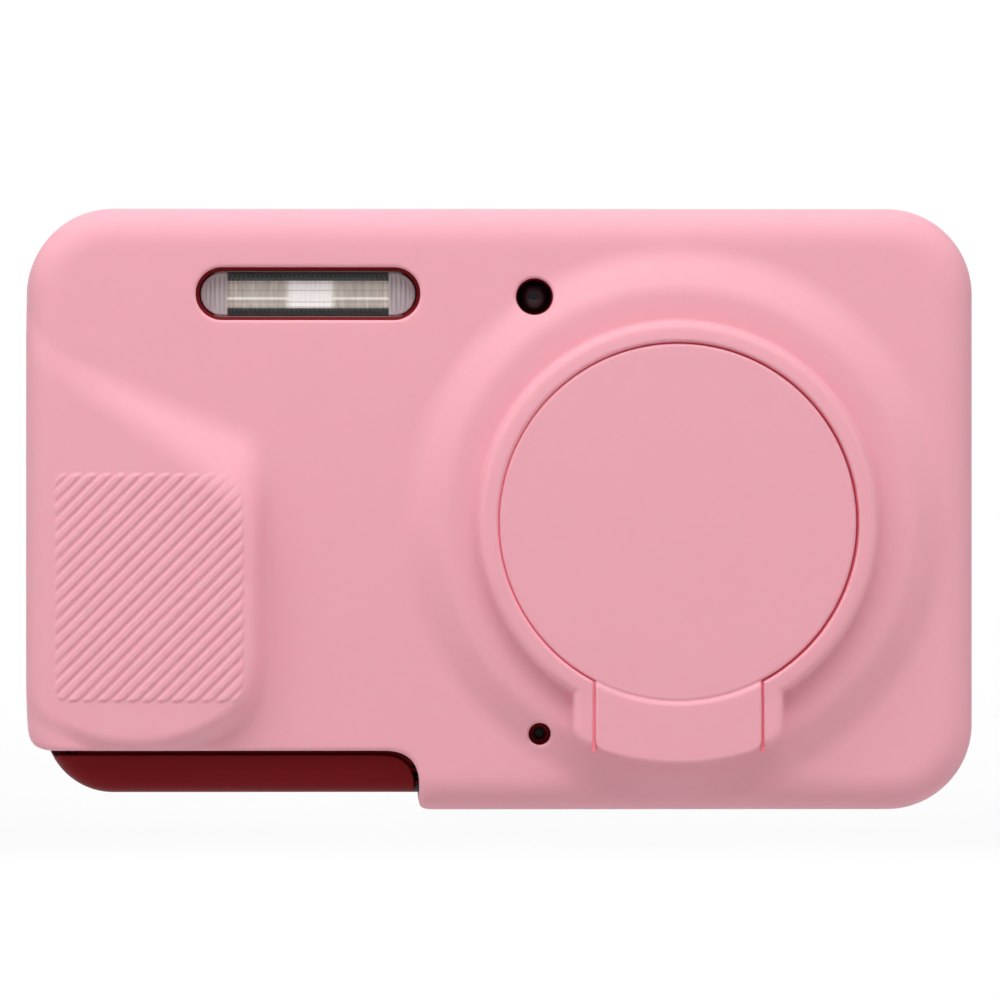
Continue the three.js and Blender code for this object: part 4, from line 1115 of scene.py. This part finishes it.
# ---- CAD pieces that keep their own shape ----
def bevelled(width, *nodes):
    """Breaks the edges of CAD pieces."""
    for node in nodes:
        piece = frame["nodes"][node]
        piece.modifiers.new("weld", "WELD").merge_threshold = 0.002 * MM
        bevel = piece.modifiers.new("edges", "BEVEL")
        bevel.width, bevel.segments = width * MM, 2
        bevel.limit_method, bevel.angle_limit = "ANGLE", radians(35)


def finish_cad_pieces():
    """Materials and broken edges for the CAD nodes that are shown as they are."""
    finishes = dict(red_shell=LACQUER, satin_metal=BAND, steel=BRIGHT, brass=BRASS)
    finishes |= dict(black_plastic=BLACK, capacitor_can=BLACK, dark_keys=KEYS, card_plastic=CARD)
    finishes |= dict(lens_glass=COATED_GLASS, flash_lens=CLEAR, reflector=CHROME)
    finishes |= dict(circuit_board=BOARD, battery_wrap=WRAP, soft_rubber=SOFT_RUBBER)
    for node, piece in frame["nodes"].items():
        if SLOTS[node] in finishes:
            piece.data.materials.clear()
            piece.data.materials.append(finishes[SLOTS[node]])
    bevelled(0.1, "battery_door", "door_latch", "strap_lug", "usb_socket", "memory_card")
    bevelled(0.05, "screw_base_left", "screw_base_right", "screw_side_left", "screw_side_right")
    bevelled(0.03, "barrier_blade_upper", "barrier_blade_lower", "battery_contacts")
    for node in ("barrier_blade_upper", "barrier_blade_lower"):
        frame["nodes"][node].data.materials[0] = BLADE


# ---- Studio, in metres ----
def floor():
    """A pale floor that curves up behind the object.

    The object is shown held clear of it, so that the lens cover and the battery door can open.
    The floor is darker to everything but the camera, which leaves the undersides in shade.
    """
    n = Nodes("floor")
    pale = n.mix(n.noise(60), (0.93, 0.93, 0.93, 1), (0.96, 0.96, 0.96, 1))
    n.colour(n.seen(), (0.65, 0.65, 0.65, 1), pale, Roughness=0.9)
    material = n.bumped(n.noise(3), 0.02)
    half_width, near, far, rise, curve, drop, steps = 2.4, -1.6, 1.1, 1.6, 0.45, 0.045, 24
    profile = [(near, 0.0)]
    for angle in (pi / 2 * i / steps for i in range(steps + 1)):
        profile.append((far + curve * sin(angle), curve * (1 - cos(angle))))
    profile.append((far + curve, rise))
    points = [(side * half_width, y, z - drop) for y, z in profile for side in (-1, 1)]
    faces = [(2 * i, 2 * i + 1, 2 * i + 3, 2 * i + 2) for i in range(len(profile) - 1)]
    mesh = bpy.data.meshes.new("floor")
    mesh.from_pydata(points, [], faces)
    mesh.shade_smooth()
    place("floor", mesh, material, None)


def put(name, data, where, aim):
    """An object for a light or camera, turned to face a point."""
    made = bpy.data.objects.new(name, data)
    made.location = where
    made.rotation_euler = (Vector(aim) - Vector(where)).to_track_quat("-Z", "Y").to_euler()
    bpy.context.scene.collection.objects.link(made)
    return made


def lights():
    """Large soft lights above, in front and at both sides, and one on the backdrop."""
    centre = (0, 0, MID_Z * MM)
    for name, where, size, power, aim in (
        ("key_light", (-0.05, -0.25, 0.43), (0.65, 0.25), 2.5, centre),
        ("front_fill", (0.1, -1.1, 0.4), (1.6, 0.9), 0.4, centre),
        ("left_fill", (-0.9, -0.3, 0.25), (0.6, 0.8), 1.5, centre),
        ("right_fill", (0.9, -0.3, 0.25), (0.6, 0.8), 1.6, centre),
        ("backdrop_light", (0, 0.45, 1.0), (1.8, 0.5), 16, (0, 1.5, 0.25)),
    ):
        light = bpy.data.lights.new(name, "AREA")
        light.shape, light.size, light.size_y, light.energy = "RECTANGLE", *size, power
        put(name, light, where, aim)


def surround():
    """White all round: bright to the camera, dim as light."""
    n = Nodes("surround", bpy.data.worlds, "Background")
    n.set(Color=(1, 1, 1, 1), Strength=n.between(n.seen(), 0.2, 1.0))
    bpy.context.scene.world = n.owner
    bpy.context.scene.view_settings.view_transform = "Standard"


def camera():
    """A long lens square to the front, a little to the left, at the height of the object's middle."""
    distance, turned, width_shown, sensor_width = 0.9, radians(-1.0), 0.1006, 36.0
    data = bpy.data.cameras.new("camera")
    data.sensor_width, data.lens = sensor_width, sensor_width * distance / width_shown
    data.clip_start, data.clip_end = 0.01, 20
    target = Vector((0, SLEEVE_FACE * 0.6, MID_Z + 0.92)) * MM
    where = target + Vector((sin(turned), -cos(turned), 0)) * distance
    bpy.context.scene.camera = put("camera", data, where, target)


sleeve()
cover()
seat_lip()
casing()
flash_window()
lamp_and_microphone()
lens_stack()
shutter_button()
return_spring()
zoom_lever()
power_button()
screen()
small_keys()
four_way_ring()
ok_button()
tripod_bush()
port_cover()
finish_cad_pieces()
floor()
lights()
surround()
camera()
